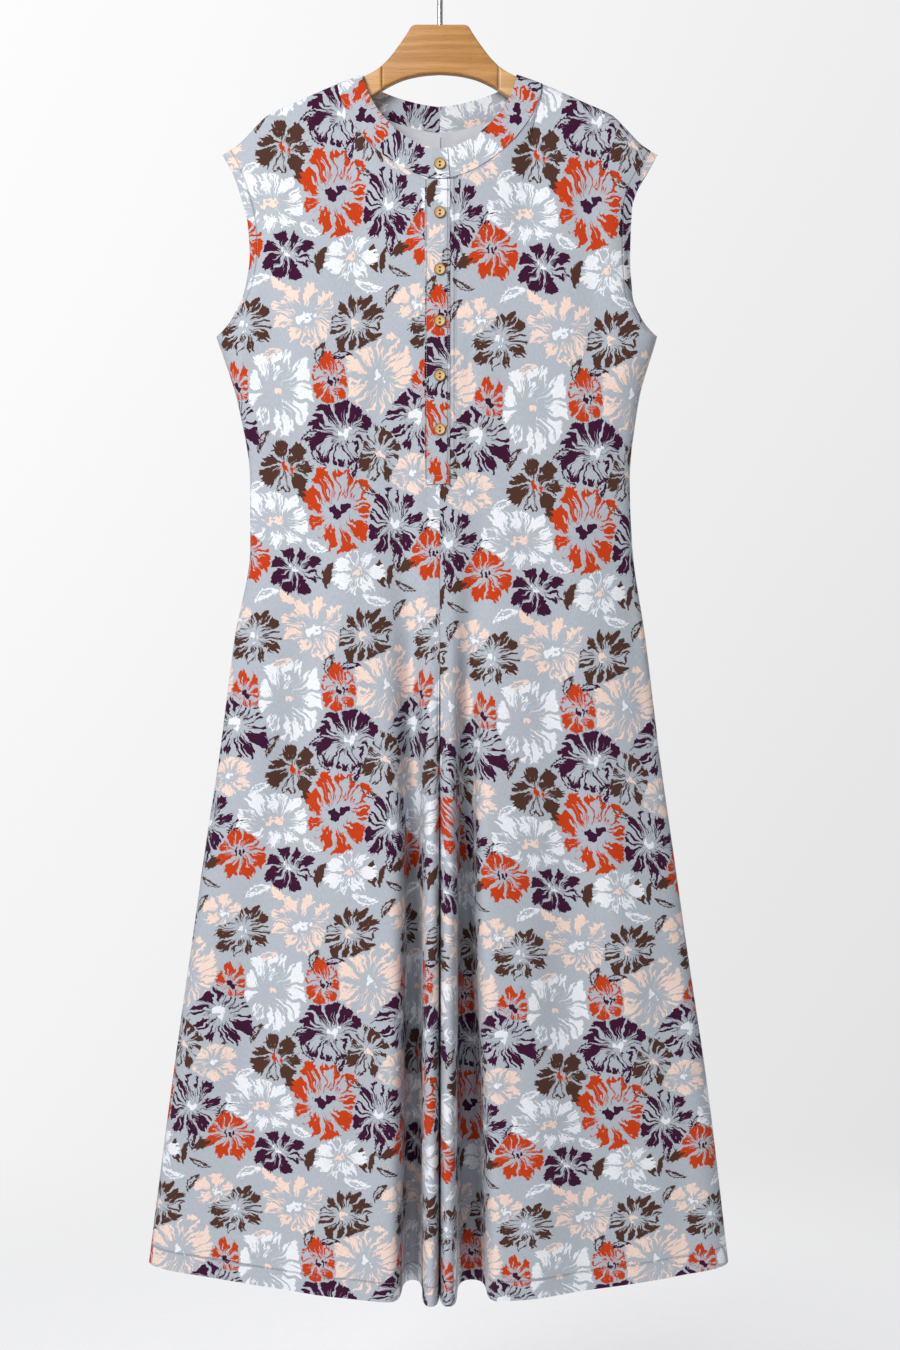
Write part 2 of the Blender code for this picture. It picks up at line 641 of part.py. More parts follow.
def main():
    for old in list(bpy.data.objects):
        bpy.data.objects.remove(old)
    garment = bpy.data.collections.new("jumpsuit_on_hanger")
    cutters = bpy.data.collections.new("cutters")
    bpy.context.scene.collection.children.link(garment)
    bpy.context.scene.collection.children.link(cutters)

    cloth = make_material("cloth", (0.48, 0.54, 0.61), 0.85)
    wood = make_material("wood", (0.56, 0.31, 0.08), 0.45)
    arm_wood = make_material("arm_wood", (0.68, 0.42, 0.15), 0.45)
    steel = make_material("steel", (0.55, 0.55, 0.56), 0.25, 1.0)
    button_wood = make_material("button_wood", (0.72, 0.50, 0.22), 0.4)

    build_panels(cloth, garment)
    build_placket(cloth, garment)
    build_bands(cloth, garment)
    build_buttons(button_wood, garment, cutters)
    build_hanger(wood, arm_wood, steel, garment, cutters)
    for cutter in cutters.objects:
        cutter.hide_render = True
        cutter.display_type = "WIRE"


main()
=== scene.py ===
"""Sleeveless wide-leg jumpsuit in a large floral print, hanging on a wooden hanger.

Lengths are in millimetres unless a name says otherwise. A drop is measured down from a
level DATUM below the rail, an out is the distance forward of the hanger's middle plane
on the front and backward of it on the back, and across is from the centre line.
"""

import math

import bmesh
import bpy
import numpy as np
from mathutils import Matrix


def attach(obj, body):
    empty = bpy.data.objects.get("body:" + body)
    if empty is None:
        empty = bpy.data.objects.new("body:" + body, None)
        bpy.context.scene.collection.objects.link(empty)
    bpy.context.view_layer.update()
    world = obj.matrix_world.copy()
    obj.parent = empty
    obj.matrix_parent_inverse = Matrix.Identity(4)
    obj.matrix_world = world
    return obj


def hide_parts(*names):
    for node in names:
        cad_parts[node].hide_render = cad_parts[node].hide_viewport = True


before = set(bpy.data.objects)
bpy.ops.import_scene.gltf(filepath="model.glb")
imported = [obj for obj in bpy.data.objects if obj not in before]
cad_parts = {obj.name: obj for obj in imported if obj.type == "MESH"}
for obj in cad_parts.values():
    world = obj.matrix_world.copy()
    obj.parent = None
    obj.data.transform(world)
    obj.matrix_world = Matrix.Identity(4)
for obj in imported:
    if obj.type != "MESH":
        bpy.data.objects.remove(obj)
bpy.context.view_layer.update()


# ---- Printed cloth ----------------------------------------------------------------
# A soft matte knit with a fine vertical grain. Brush-painted flowers in five colours
# are printed on a grey-blue ground; the wrong side stays nearly white.

def linear(red, green, blue):
    """A display colour, 0 to 255, as the shader's linear colour."""
    def one(value):
        value /= 255
        return value / 12.92 if value <= 0.04045 else ((value + 0.055) / 1.055) ** 2.4
    return one(red), one(green), one(blue), 1.0


class Wire:
    """One output of a material's nodes, which can be used in sums like a number."""

    def __init__(self, tree, socket):
        self.tree = tree
        self.socket = socket

    def add(self, kind, settings=None, sockets=None, output=0):
        """Add a node of a kind with its settings, then its sockets' values or links."""
        node = self.tree.nodes.new(kind)
        for name, value in (settings or {}).items():
            setattr(node, name, value)
        for name, value in (sockets or {}).items():
            if isinstance(value, Wire):
                self.tree.links.new(value.socket, node.inputs[name])
            else:
                node.inputs[name].default_value = value
        return Wire(self.tree, node.outputs[output])

    def math(self, operation, *values):
        return self.add("ShaderNodeMath", {"operation": operation},
                        dict(enumerate(values)))

    def vector(self, operation, *values, output=0):
        return self.add("ShaderNodeVectorMath", {"operation": operation},
                        dict(enumerate((self, *values))), output)

    def scaled(self, *by):
        """This vector times three numbers, or times another vector."""
        return self.vector("MULTIPLY", by if len(by) > 1 else by[0])

    def centred(self):
        """Noise that went from 0 to 1, moved to go as far below 0 as above."""
        return self.vector("SUBTRACT", (0.5, 0.5, 0.5))

    def length(self):
        return self.vector("LENGTH", output=1)

    def joined(self, **axes):
        """A vector with some of its x, y and z given."""
        return self.add("ShaderNodeCombineXYZ", {},
                        {name.upper(): value for name, value in axes.items()})

    def __add__(self, other):
        return self.math("ADD", self, other)

    def __sub__(self, other):
        return self.math("SUBTRACT", self, other)

    def __mul__(self, other):
        return self.math("MULTIPLY", self, other)

    def __truediv__(self, other):
        return self.math("DIVIDE", self, other)

    def __rsub__(self, other):
        return self.math("SUBTRACT", other, self)

    __radd__ = __add__

    def __lt__(self, other):
        return self.math("LESS_THAN", self, other)

    def __gt__(self, other):
        return self.math("GREATER_THAN", self, other)

    def axis(self, index):
        """One of a vector's three numbers."""
        return self.add("ShaderNodeSeparateXYZ", {}, {0: self}, index)

    def pick(self, chooser, other, colour=False):
        """This one where the chooser is 0, the other one where it is 1."""
        kind, first, out = ("RGBA", 6, 2) if colour else ("VECTOR", 4, 1)
        return chooser.add("ShaderNodeMix", {"data_type": kind},
                           {0: chooser, first: self, first + 1: other}, out)

    def noise(self, scale, detail=2.0, roughness=0.5, output=0):
        return self.add("ShaderNodeTexNoise", {"noise_dimensions": "3D"},
                        {"Vector": self, "Scale": scale, "Detail": detail,
                         "Roughness": roughness}, output)

    def smooth(self, low, high):
        """Rises from 0 to 1 as this goes from low to high."""
        return self.add("ShaderNodeMapRange", {"interpolation_type": "SMOOTHSTEP"},
                        {"Value": self, "From Min": low, "From Max": high})

    def between(self, first, second):
        """A colour that goes from the first to the second as this goes from 0 to 1."""
        return self.add("ShaderNodeMix", {"data_type": "RGBA"},
                        {0: self, 6: first, 7: second}, 2)

    def feed(self, shader, name):
        self.tree.links.new(self.socket, shader.inputs[name])


def new_material(name, roughness, sheen=0.0, metallic=0.0):
    """A new material, with its node tree and its shader."""
    material = bpy.data.materials.new(name)
    material.use_nodes = True
    tree = material.node_tree
    shader = tree.nodes["Principled BSDF"]
    shader.inputs["Roughness"].default_value = roughness
    shader.inputs["Metallic"].default_value = metallic
    shader.inputs["Sheen Weight"].default_value = sheen
    shader.inputs["Specular IOR Level"].default_value = 0.15 if sheen else 0.5
    return material, tree, shader


def coordinates(tree, kind):
    return Wire(tree, tree.nodes.new("ShaderNodeTexCoord").outputs[kind])


def bumpy(shader, height, distance):
    """Let a height, from 0 to 1, stand out this many metres."""
    height.add("ShaderNodeBump", {}, {"Height": height, "Distance": distance,
                                      "Strength": 1.0}).feed(shader, "Normal")


INKS = {
    "orange": linear(192, 60, 16),
    "aubergine": linear(58, 14, 48),
    "brown": linear(76, 48, 38),
    "peach": linear(238, 212, 198),
    "white": linear(231, 233, 237),
}
GROUND = linear(175, 181, 189)
REPEAT = (209.5, 345.0)      # the print's repeat, across and down
DRIFT = 3.2                  # how far flowers stray, so that no two repeats are alike
FLOWER_REACH = 1.3           # how many half widths out a flower's tips may come
LEAF_REACH = 1.2
LEAF_FULLNESS = (0.85, 0.8)  # of a leaf's shape, along and across its halves
SEED_STEP = 3.7              # between one flower's seed and the next one's
FAR = 9e3                    # the distance of anything that isn't near at all
SEWN_LINE = 100.0            # value of a panel's hem attribute at its row of stitches
SEWN_WIDTH = (0.2, 1.3)      # the cloth dips along its stitches, less and less out to here
HEM_STEP = 0.8               # half the width over which a doubled hem rises

# One repeat of the print: each flower's middle, half width and half height, petals,
# how far its petals stay clear of the middle (0 to 1), and its petal and heart inks.
FLOWERS = (
    (112, 285, 31, 31, 11, 0.38, "brown", "white"),
    (181, 276, 35, 33, 9, 0.50, "peach", "white"),
    (26, 285, 31, 31, 11, 0.36, "brown", "peach"),
    (93, 264, 23, 20, 6, 0.36, "peach", "white"),
    (104, 6, 22, 27, 7, 0.28, "orange", "aubergine"),
    (149, 12, 42, 44, 9, 0.50, "white", "peach"),
    (0, 2, 22, 28, 7, 0.28, "orange", "aubergine"),
    (52, 343, 42, 43, 9, 0.46, "peach", "white"),
    (92, 40, 41, 42, 11, 0.34, "aubergine", "white"),
    (9, 56, 36, 38, 10, 0.32, "aubergine", "white"),
    (157, 95, 29, 28, 7, 0.24, "brown", "orange"),
    (50, 79, 27, 32, 8, 0.26, "brown", "peach"),
    (85, 101, 25, 25, 6, 0.42, "peach", "white"),
    (3, 144, 41, 48, 9, 0.42, "orange", "aubergine"),
    (141, 154, 44, 32, 10, 0.50, "white", "peach"),
    (64, 157, 34, 40, 10, 0.32, "aubergine", "white"),
    (107, 191, 28, 31, 8, 0.30, "orange", "aubergine"),
    (162, 209, 28, 27, 8, 0.24, "aubergine", "white"),
    (22, 212, 26, 25, 7, 0.34, "white", "peach"),
)

# Its leaves: middle, half length, half width, turn in degrees, 1 for a filled leaf or
# 0 for an outlined one, and the ink.
LEAVES = (
    (177, 124, 13, 6, 115, 1, "brown"),
    (199, 216, 14, 6, 75, 1, "brown"),
    (47, 214, 14, 6, 100, 1, "brown"),
    (57, 216, 13, 4, 80, 1, "brown"),
    (76, 206, 12, 7, 20, 1, "brown"),
    (74, 228, 12, 4, 155, 0, "brown"),
    (187, 62, 12, 6, 10, 0, "aubergine"),
    (193, 82, 13, 5, 120, 0, "aubergine"),
    (22, 97, 12, 6, 75, 0, "aubergine"),
    (101, 160, 11, 5, 55, 0, "aubergine"),
    (66, 199, 12, 5, 85, 0, "aubergine"),
    (132, 66, 13, 5, 60, 0, "brown"),
    (187, 182, 12, 6, 150, 0, "white"),
    (128, 238, 14, 6, 25, 0, "white"),
    (152, 240, 11, 5, 140, 1, "peach"),
    (41, 243, 14, 6, 165, 0, "white"),
    (66, 254, 12, 5, 60, 0, "brown"),
    (36, 118, 12, 5, 140, 0, "brown"),
    (120, 117, 12, 5, 30, 0, "white"),
    (199, 318, 12, 6, 80, 0, "brown"),
    (142, 318, 13, 5, 30, 0, "peach"),
    (10, 320, 12, 5, 10, 0, "aubergine"),
)


def wrapped(point, place):
    """Where a point of the print lies from the nearest copy of a place."""
    half = (REPEAT[0] / 2, REPEAT[1] / 2, 0)
    return point.vector("SUBTRACT", (*place, 0)).vector("WRAP", half, [-x for x in half])


def nearest_flower(point):
    """The nearest flower's own coordinates, inks and habit, and how clear of others.

    Clear goes from 1 where two flowers are as near, up to more well inside one.
    """
    nearest = FLOWER_REACH
    second = FAR
    local = point.vector("ADD", (FAR, 0, 0))
    petal = local
    heart = local
    habit = local
    for number, (x, y, wide, tall, petals, hollow, ink, middle) in enumerate(FLOWERS):
        away = wrapped(point, (x, y)).scaled(1 / wide, 1 / tall, 0)
        distance = away.length()
        closer = distance < nearest
        second = distance.math("MINIMUM", second, distance.math("MAXIMUM", distance, nearest))
        nearest = distance.math("MINIMUM", distance, nearest)
        local = local.pick(closer, away)
        petal = petal.pick(closer, INKS[ink], True)
        heart = heart.pick(closer, INKS[middle], True)
        habit = habit.pick(closer, (number * SEED_STEP + 1, petals, hollow))
    return local, petal, heart, habit, second / nearest


def nearest_leaf(point):
    """The nearest leaf's own coordinates, with its filling, and its ink."""
    nearest = LEAF_REACH
    local = point.vector("ADD", (FAR, 0, 0))
    ink = local
    for x, y, long, wide, turn, filled, name in LEAVES:
        away = wrapped(point, (x, y))
        away = away.add("ShaderNodeVectorRotate", {"rotation_type": "Z_AXIS"},
                        {"Vector": away, "Angle": math.radians(turn)})
        away = away.scaled(LEAF_FULLNESS[0] / long, LEAF_FULLNESS[1] / wide, 0)
        distance = away.length()
        closer = distance < nearest
        nearest = distance.math("MINIMUM", distance, nearest)
        local = local.pick(closer, away.vector("ADD", (0, 0, filled)))
        ink = ink.pick(closer, INKS[name], True)
    return local, ink


BRUSH_MARKS = 8.5            # how many brush marks lie round a flower, roughly
WAVER = 0.5                  # how far a petal's line wanders
RAGGED = 0.2                 # how far its edge does
TIP = 0.96                   # how far out a petal reaches
TIP_FRAY = 1.0               # how much the brush marks move its tip, root and sides
ROOT_FRAY = 1.2
SIDE_FRAY = 0.42
PETAL_HALF = 0.35
OUTLINE = (0.16, 0.12, 0.17)         # of a hollow petal, at its tip, root and sides
OUTLINED = 0.72              # petals whose chance is above this are outlined
SLIT_MARKS = 0.575           # brush marks above this leave a slit near the middle
SLIT_LENGTH = 0.34
GAP = 1.06                   # how clear of the next flower a petal stays
GAP_FRAY = 0.7


def flower_masks(local, habit, clear):
    """Where the nearest flower's petals and heart are printed.

    Lengths are shares of the flower's half width, and widths shares of one petal's room.
    """
    seed = habit.axis(0)
    petals = habit.axis(1)
    hollow = habit.axis(2)
    shift = local.joined(z=seed)
    wobble = local.vector("ADD", shift).noise(1.5, 1.0, output=1)
    wobble = wobble.centred()
    swayed = local.vector("ADD", wobble.scaled(WAVER, WAVER, 0))
    ragged = swayed.vector("ADD", shift).noise(5.0, 2.0, output=1)
    ragged = ragged.centred().scaled(RAGGED, RAGGED, 0)
    swayed = swayed.vector("ADD", ragged)
    reach = swayed.length() * (wobble.axis(2) * 0.35 + 1)
    turn = swayed.math("ARCTAN2", swayed.axis(1), swayed.axis(0)) / (2 * math.pi) + 0.5
    sector = turn * petals
    number = sector.math("FLOOR", sector)
    beside = sector.math("ABSOLUTE", sector - number - 0.5)
    chance = sector.add("ShaderNodeTexWhiteNoise", {"noise_dimensions": "2D"},
                        {"Vector": sector.joined(x=number, y=seed)}, 1)

    # Brush marks run out from the middle: fine ones fray both ends of a petal.
    around = swayed.vector("NORMALIZE").scaled(BRUSH_MARKS, BRUSH_MARKS, 0)
    along = around.vector("ADD", around.joined(z=reach * 1.3 + seed))
    fray = along.noise(1.0, 2.0, 0.6, output=1)
    tip = (chance.axis(0) * 0.24 + TIP - beside * beside * 1.3
           + (fray.axis(0) - 0.5) * TIP_FRAY)
    root = hollow + (fray.axis(1) - 0.5) * ROOT_FRAY + beside * 0.16 - 0.04
    half = (chance.axis(1) * 0.12 + PETAL_HALF + (fray.axis(2) - 0.5) * SIDE_FRAY
            + (reach - 0.6) * 0.14)
    petal = (reach < tip) * (reach > root) * (beside < half)
    # Some petals are only outlined, most have slits near the middle, and a ragged gap
    # is kept to the next flower.
    hole = ((reach < tip - OUTLINE[0]) * (reach > root + OUTLINE[1])
            * (beside < half - OUTLINE[2]) * (chance.axis(2) > OUTLINED))
    slit = (fray.axis(2) > SLIT_MARKS) * (reach < root + SLIT_LENGTH)
    apart = clear > (fray.axis(0) - 0.5) * GAP_FRAY + GAP
    petal = petal * (1 - hole) * (1 - slit) * apart

    dabs = local.vector("ADD", shift).scaled(1.5, 1, 1).noise(4.6, 1.0)
    heart = dabs > reach * 1.35 + 0.33
    return petal, heart


def leaf_mask(local):
    """Where the nearest leaf is printed: a crescent, filled or outlined."""
    along = local.axis(0)
    taper = 1 - along * along
    across = local.axis(1) + taper * 0.5 - 0.2
    fray = local.scaled(1.2, 1, 1).noise(3.0, 2.0, 0.6) - 0.5
    edge = taper * 0.72 + fray * 1.3
    inside = ((across < edge - 0.62 + fray * 1.6) * (across > fray * 1.6 - edge + 0.26)
              * (1 - local.axis(2)))
    return ((local.math("ABSOLUTE", across) < edge) * (taper > fray * 0.5 + 0.06)
            * (1 - inside))


def printed_cloth():
    """The right side of the cloth, in metres of cloth on its own UV map."""
    material, tree, shader = new_material("printed_cloth", 0.9, sheen=0.05)
    metres = coordinates(tree, "UV")
    point = metres.scaled(1000, 1000, 0)
    drift = point.noise(0.16, 1.0, output=1).centred()
    point = point.vector("ADD", drift.scaled(DRIFT, DRIFT, 0))
    local, petal_ink, heart_ink, habit, clear = nearest_flower(point)
    leaf, leaf_ink = nearest_leaf(point)
    petal, heart = flower_masks(local, habit, clear)

    colour = leaf_ink.pick(1 - leaf_mask(leaf), GROUND, True)
    colour = colour.pick(petal, petal_ink, True)
    colour = colour.pick(heart, heart_ink, True)

    grain = metres.scaled(1300, 260, 0).noise(1.0, 2.0, 0.7)
    heather = metres.scaled(620, 210, 0).noise(1.0, 1.0)
    edge = metres.add("ShaderNodeAttribute", {"attribute_name": "hem"}, {}, 2)
    sewn = 1 - edge.math("ABSOLUTE", edge - SEWN_LINE).smooth(*SEWN_WIDTH)
    doubled = edge.smooth(SEWN_LINE + HEM_STEP, SEWN_LINE - HEM_STEP) * (edge > 1)
    # Light and dark threads mix finely; the sewn line lies in a little shade.
    shade = (grain * 0.24 + heather * 0.26 + 0.75) * (1 - sewn * 0.2)
    colour = colour.scaled(shade.joined(x=shade, y=shade, z=shade))
    colour.feed(shader, "Base Color")
    (0.8 + grain * 0.18).feed(shader, "Roughness")
    bumpy(shader, grain * 0.4 + doubled * 0.8 - sewn * 0.8, 0.001)
    return material


def wrong_side():
    """The unprinted side: pale, with a little of the ground's colour in it."""
    material, tree, shader = new_material("wrong_side", 0.92, sheen=0.2)
    metres = coordinates(tree, "UV")
    grain = metres.scaled(1400, 300, 0).noise(1.0, 2.0, 0.7)
    ghost = metres.noise(22.0, 3.0, 0.6).smooth(0.42, 0.62)
    pale = (ghost * 0.4 + grain * 0.3).between(linear(204, 206, 210), linear(182, 184, 192))
    pale.feed(shader, "Base Color")
    bumpy(shader, grain, 0.0004)
    return material


PRINTED = printed_cloth()
WRONG_SIDE = wrong_side()


# ---- Front and back panels --------------------------------------------------------
# Two fronts and two backs, each cut in one from shoulder to hem, joined at the side,
# centre and inside-leg seams. Each leg has a deep pleat beside the centre.

MM = 0.001
DATUM = 20            # how far below the rail the drops are measured from
WALL = 1.1
SEAM_GAP = 0.3
RETURN = 1.3          # straight bit of cloth just before a seam
SHOULDER_TIP = 203
UNDERARM = 403
PLACKET_END = 561
BACK_FORK = 806       # where the back seam starts to run forward under the crotch
CROTCH = 874
HEM = 1440
HEM_RISE = 23         # how much the hem climbs towards the side seam
NECK_HALF = 111.5
NECK_DROP = 124.6
BAND_TOP_HALF = 84
BAND_TOP_DROP = 114.6
FOLD_RADIUS = 9       # of the cloth where it folds over the hanger's arm
ARM_COVER = 10        # how far out the cloth hangs just below the arm
SLIT_LEFT = 13
SLIT_RIGHT = 18

# One row a section of a front or back panel, from the underarm to the hem. Across
# a row: the side seam, the flat part beside it, then the crest, the valley and the
# inner fold of the pleat next to the centre, each with its out, the seam itself
# (0 is the centre seam, more is the inseam) and half the width of a fold's top.
COLUMNS = ("drop", "side", "side_out", "flank_out", "belly_out", "crest", "crest_out",
           "valley", "valley_out", "fold", "fold_out", "seam", "seam_out", "half")
FRONT_LEFT = (
    (403, 245, 16, 25, 30, 84, 31, 48, 32, 13, 32, 0, 32, 5),
    (480, 221, 14, 23, 28, 84, 29, 48, 29, 13, 30, 0, 30, 5),
    (566, 208, 12, 19, 24, 82, 27, 48, 26, 13, 28, 0, 28, 5),
    (640, 208, 12, 20, 26, 72, 29, 40, 25, 13, 31, 0, 31, 5),
    (740, 225, 13, 23, 29, 60, 34, 33, 20, 10, 36, 0, 35, 5),
    (874, 242, 14, 26, 33, 52, 44, 30, 11, 10, 47, 1.4, 38, 5.5),
    (960, 255, 15, 27, 37, 46, 54, 29, 5, 10, 60, 2, 39, 6),
    (1090, 273, 17, 29, 41, 46, 63, 29, 1, 10, 72, 2.5, 40, 6.5),
    (1250, 295, 19, 31, 44, 47, 69, 30, 0, 10, 80, 3, 40, 6.5),
    (1440, 319, 21, 33, 47, 49, 74, 31, -2, 10, 86, 3, 40, 6.5),
)
FRONT_RIGHT = (
    (403, 238, 16, 25, 30, 88, 31, 52, 32, 18, 32, 0, 32, 5),
    (480, 217, 14, 23, 28, 86, 29, 52, 29, 18, 30, 0, 30, 5),
    (566, 208, 12, 19, 24, 84, 27, 50, 26, 18, 28, 0, 28, 5),
    (640, 211, 12, 20, 26, 70, 29, 42, 26, 14, 31, 0, 31, 5),
    (740, 225, 13, 23, 29, 58, 33, 33, 22, 11, 36, 0, 35, 5),
    (874, 241, 14, 26, 33, 50, 43, 30, 13, 11, 47, 1.4, 38, 5.5),
    (960, 253, 15, 27, 37, 46, 55, 30, 6, 12, 61, 2, 39, 6),
    (1090, 271, 17, 29, 41, 49, 63, 31, 1, 13, 72, 2.5, 40, 7),
    (1250, 294, 19, 31, 44, 54, 68, 34, -1, 12, 80, 3, 40, 7),
    (1440, 316, 21, 33, 47, 58, 72, 36, -3, 11, 86, 3, 40, 6.5),
)
BACK = (
    (403, 241, 14, 24, 29, 90, 28, 52, 27, 22, 27, 0, 27, 8),
    (480, 218, 12, 22, 27, 90, 26, 54, 24, 22, 26, 0, 26, 8),
    (566, 208, 11, 18, 24, 88, 24, 54, 22, 22, 24, 0, 24, 8),
    (640, 214, 11, 19, 26, 88, 27, 54, 24, 22, 25, 0, 25, 8),
    (740, 231, 12, 23, 32, 92, 34, 56, 28, 22, 30, 0, 29, 8),
    (806, 242, 13, 24, 34, 94, 38, 56, 28, 20, 33, 0.5, 32, 8),
    (840, 248, 13, 25, 35, 95, 40, 56, 29, 16, 36, 1.6, 4, 9),
    (874, 254, 14, 26, 36, 96, 41, 56, 30, 13, 40, 1.6, -38, 10),
    (960, 268, 15, 28, 38, 98, 46, 56, 31, 13, 48, 2, -39, 10),
    (1090, 286, 16, 30, 40, 102, 52, 58, 32, 13, 54, 2.5, -40, 10),
    (1250, 301, 18, 31, 42, 108, 56, 62, 33, 14, 57, 3, -40, 11),
    (1440, 317, 20, 32, 44, 116, 60, 66, 34, 15, 60, 3, -40, 12),
)
ARMHOLE_LEFT = ((203, 239), (221, 229), (245, 220), (283, 210), (315, 208), (350, 213),
                (386, 230), (403, 245))
ARMHOLE_RIGHT = ((203, 239), (221, 229), (242, 217), (266, 210), (316, 208), (360, 211),
                 (386, 223), (403, 238))
SHOULDER = ((84, 114.6), (111.5, 124.6), (158, 145), (190, 160), (205, 175), (222, 192),
            (239, 203))
ARMHOLE_OUT = 11      # how far each armhole edge stands off the middle plane
ARMHOLE_START = 0.5   # how far the side seam has parted at the underarm
TIP_OUT = 3
TIP_CURVE = 5         # the higher, the later the cloth goes in to the shoulder's tip
EDGE_LEAN = 4         # the higher, the closer to the armhole its standing off begins
EDGE_CURVE = 0.7      # the lower, the fuller that is at the armhole's two ends

STEEPENING = (830, 1110)      # drops between which the front pleats become sharp
STEEP_FOLD = 8.8              # half the width of a sharp inner fold
STEEP_FLOOR = 0.5             # how far past that fold a sharp pleat's floor starts
STEEP_RIM = 1.5               # and how far short of the crest it ends
SLIT_HALF = 0.5               # half the gap between the two inner folds
CREST_LENGTH = 3              # how many half widths a pleat's crest stays level
BELLY_PLACE = 0.45            # where the belly and the flank lie, as shares of the way
FLANK_PLACE = 0.8             # from the crest to the side seam
STEPS = 8                     # fine steps along each stretch of a section
ARMHOLE_HEM = 9.0
LEG_HEM = 20.0
NECK_COLUMN = 1 + 6 * STEPS   # where the neck's shoulder end meets a panel
LAST_COLUMN = 2 + 9 * STEPS
SLIT_COLUMN = 1 + STEPS
ROW_STEP = 5.0
NECK_CROWDING = 1.6           # above 1, columns lie closer towards the neck's shoulder end
UPPER_SHARES = np.linspace(0.02, 0.9, 45)     # of the way from the underarm's row up
TOP_STEPS = (16, 13, 11, 9, 7.5, 6, 4.6, 3.4, 2.4, 1.5, 0.8, 0.3, 0)

# Soft creases: where each starts and ends (across, drop), how far it bows sideways,
# its half width, and how far it stands out, or in where less than 0.
SIDE_FREE = 14        # creases grow to their full height over these widths, from the
CENTRE_KEPT = 4       # side seam, from this far beside the centre, and from the top edge
CENTRE_FREE = 12
TOP_FREE = 18
LEFT_CREASES = (
    (146, 690, 158, 880, 0, 24, -5.0), (158, 880, 212, 1200, 10, 26, -6.5),
    (205, 1180, 240, 1400, 0, 30, -3.0), (104, 640, 112, 1000, 4, 24, 3.0),
    (236, 700, 250, 900, 0, 12, 2.0), (120, 1080, 128, 1420, -6, 26, 3.2),
    (66, 470, 88, 610, 4, 14, -2.2), (24, 560, 30, 660, 0, 9, 2.0),
    (190, 250, 176, 420, 6, 16, -2.4), (128, 220, 120, 330, 0, 20, 1.8),
    (214, 420, 188, 520, 6, 10, 2.2), (206, 440, 150, 500, 4, 9, -1.4),
    (196, 560, 176, 640, 5, 10, -1.8), (100, 140, 70, 210, 4, 8, 1.6),
    (168, 168, 150, 260, 5, 10, -1.8), (262, 1020, 282, 1280, 3, 14, 2.4),
    (86, 1150, 92, 1400, 0, 15, -2.6),
)
RIGHT_CREASES = (
    (150, 640, 196, 1060, -10, 30, 2.6), (120, 760, 134, 1120, 6, 26, -3.4),
    (182, 960, 204, 1130, 0, 14, 2.2), (210, 700, 226, 880, 4, 14, -2.6),
    (96, 1080, 104, 1420, 5, 20, 3.2), (244, 1120, 262, 1400, 3, 20, -2.8),
    (34, 420, 32, 560, 0, 8, -1.8), (70, 480, 92, 620, -4, 14, -2.0),
    (180, 230, 168, 400, -6, 16, -2.4), (128, 210, 122, 320, 0, 18, 1.6),
    (208, 430, 180, 520, -5, 10, 2.0), (190, 470, 140, 530, 4, 9, -1.3),
    (96, 138, 66, 210, -4, 8, 1.4), (172, 172, 154, 262, 5, 10, -1.8),
    (150, 1180, 156, 1420, 4, 22, -2.4),
)
BACK_CREASES = (
    (140, 640, 150, 900, 6, 26, -4.5), (150, 880, 196, 1260, -8, 28, -6.0),
    (112, 200, 96, 380, 6, 18, -2.6), (180, 240, 170, 420, 6, 16, 2.2),
    (206, 440, 150, 520, 6, 10, -1.8), (84, 470, 70, 620, 5, 14, 2.2),
    (40, 560, 46, 760, 0, 14, -2.0), (220, 700, 240, 960, 4, 18, 2.6),
    (100, 140, 74, 200, 3, 9, -1.4), (232, 1080, 262, 1380, 4, 20, -3.0),
    (150, 1180, 158, 1420, 5, 20, 3.0),
)


def column(table, name):
    """One named column of a section table."""
    return np.array([row[COLUMNS.index(name)] for row in table], dtype=float)


def ease(knots, values, at):
    """Interpolate smoothly through the knots without overshooting any of them."""
    knots = np.asarray(knots, dtype=float)
    values = np.asarray(values, dtype=float)
    steps = np.diff(knots)
    slopes = np.diff(values) / steps
    tangents = np.zeros_like(values)
    same_way = slopes[1:] * slopes[:-1] > 0
    total = np.where(same_way, slopes[1:] + slopes[:-1], 1.0)
    tangents[1:-1] = np.where(same_way, 2 * slopes[1:] * slopes[:-1] / total, 0.0)
    tangents[0] = slopes[0]
    tangents[-1] = slopes[-1]
    at = np.clip(at, knots[0], knots[-1])
    cell = np.clip(np.searchsorted(knots, at) - 1, 0, len(steps) - 1)
    width = steps[cell]
    u = (at - knots[cell]) / width
    return (values[cell] * (1 + 2 * u) * (1 - u) ** 2
            + values[cell + 1] * u * u * (3 - 2 * u)
            + width * u * (1 - u) * (tangents[cell] * (1 - u) - tangents[cell + 1] * u))


def follow(table, at):
    """Interpolate smoothly in a table of (place, value) pairs."""
    return ease(*zip(*table), at)


def rounded_path(corners, steps):
    """Round a path's corners with parabolas that touch the middle of each stretch."""
    corners = np.asarray(corners, dtype=float)
    middles = (corners[1:-2] + corners[2:-1]) / 2
    starts = np.vstack((corners[:1], middles))
    ends = np.vstack((middles, corners[-1:]))
    points = []
    for start, corner, end in zip(starts, corners[1:-1], ends):
        for step in range(steps):
            u = step / steps
            points.append((1 - u) ** 2 * start + 2 * u * (1 - u) * corner + u * u * end)
    points.append(corners[-1])
    return np.array(points)


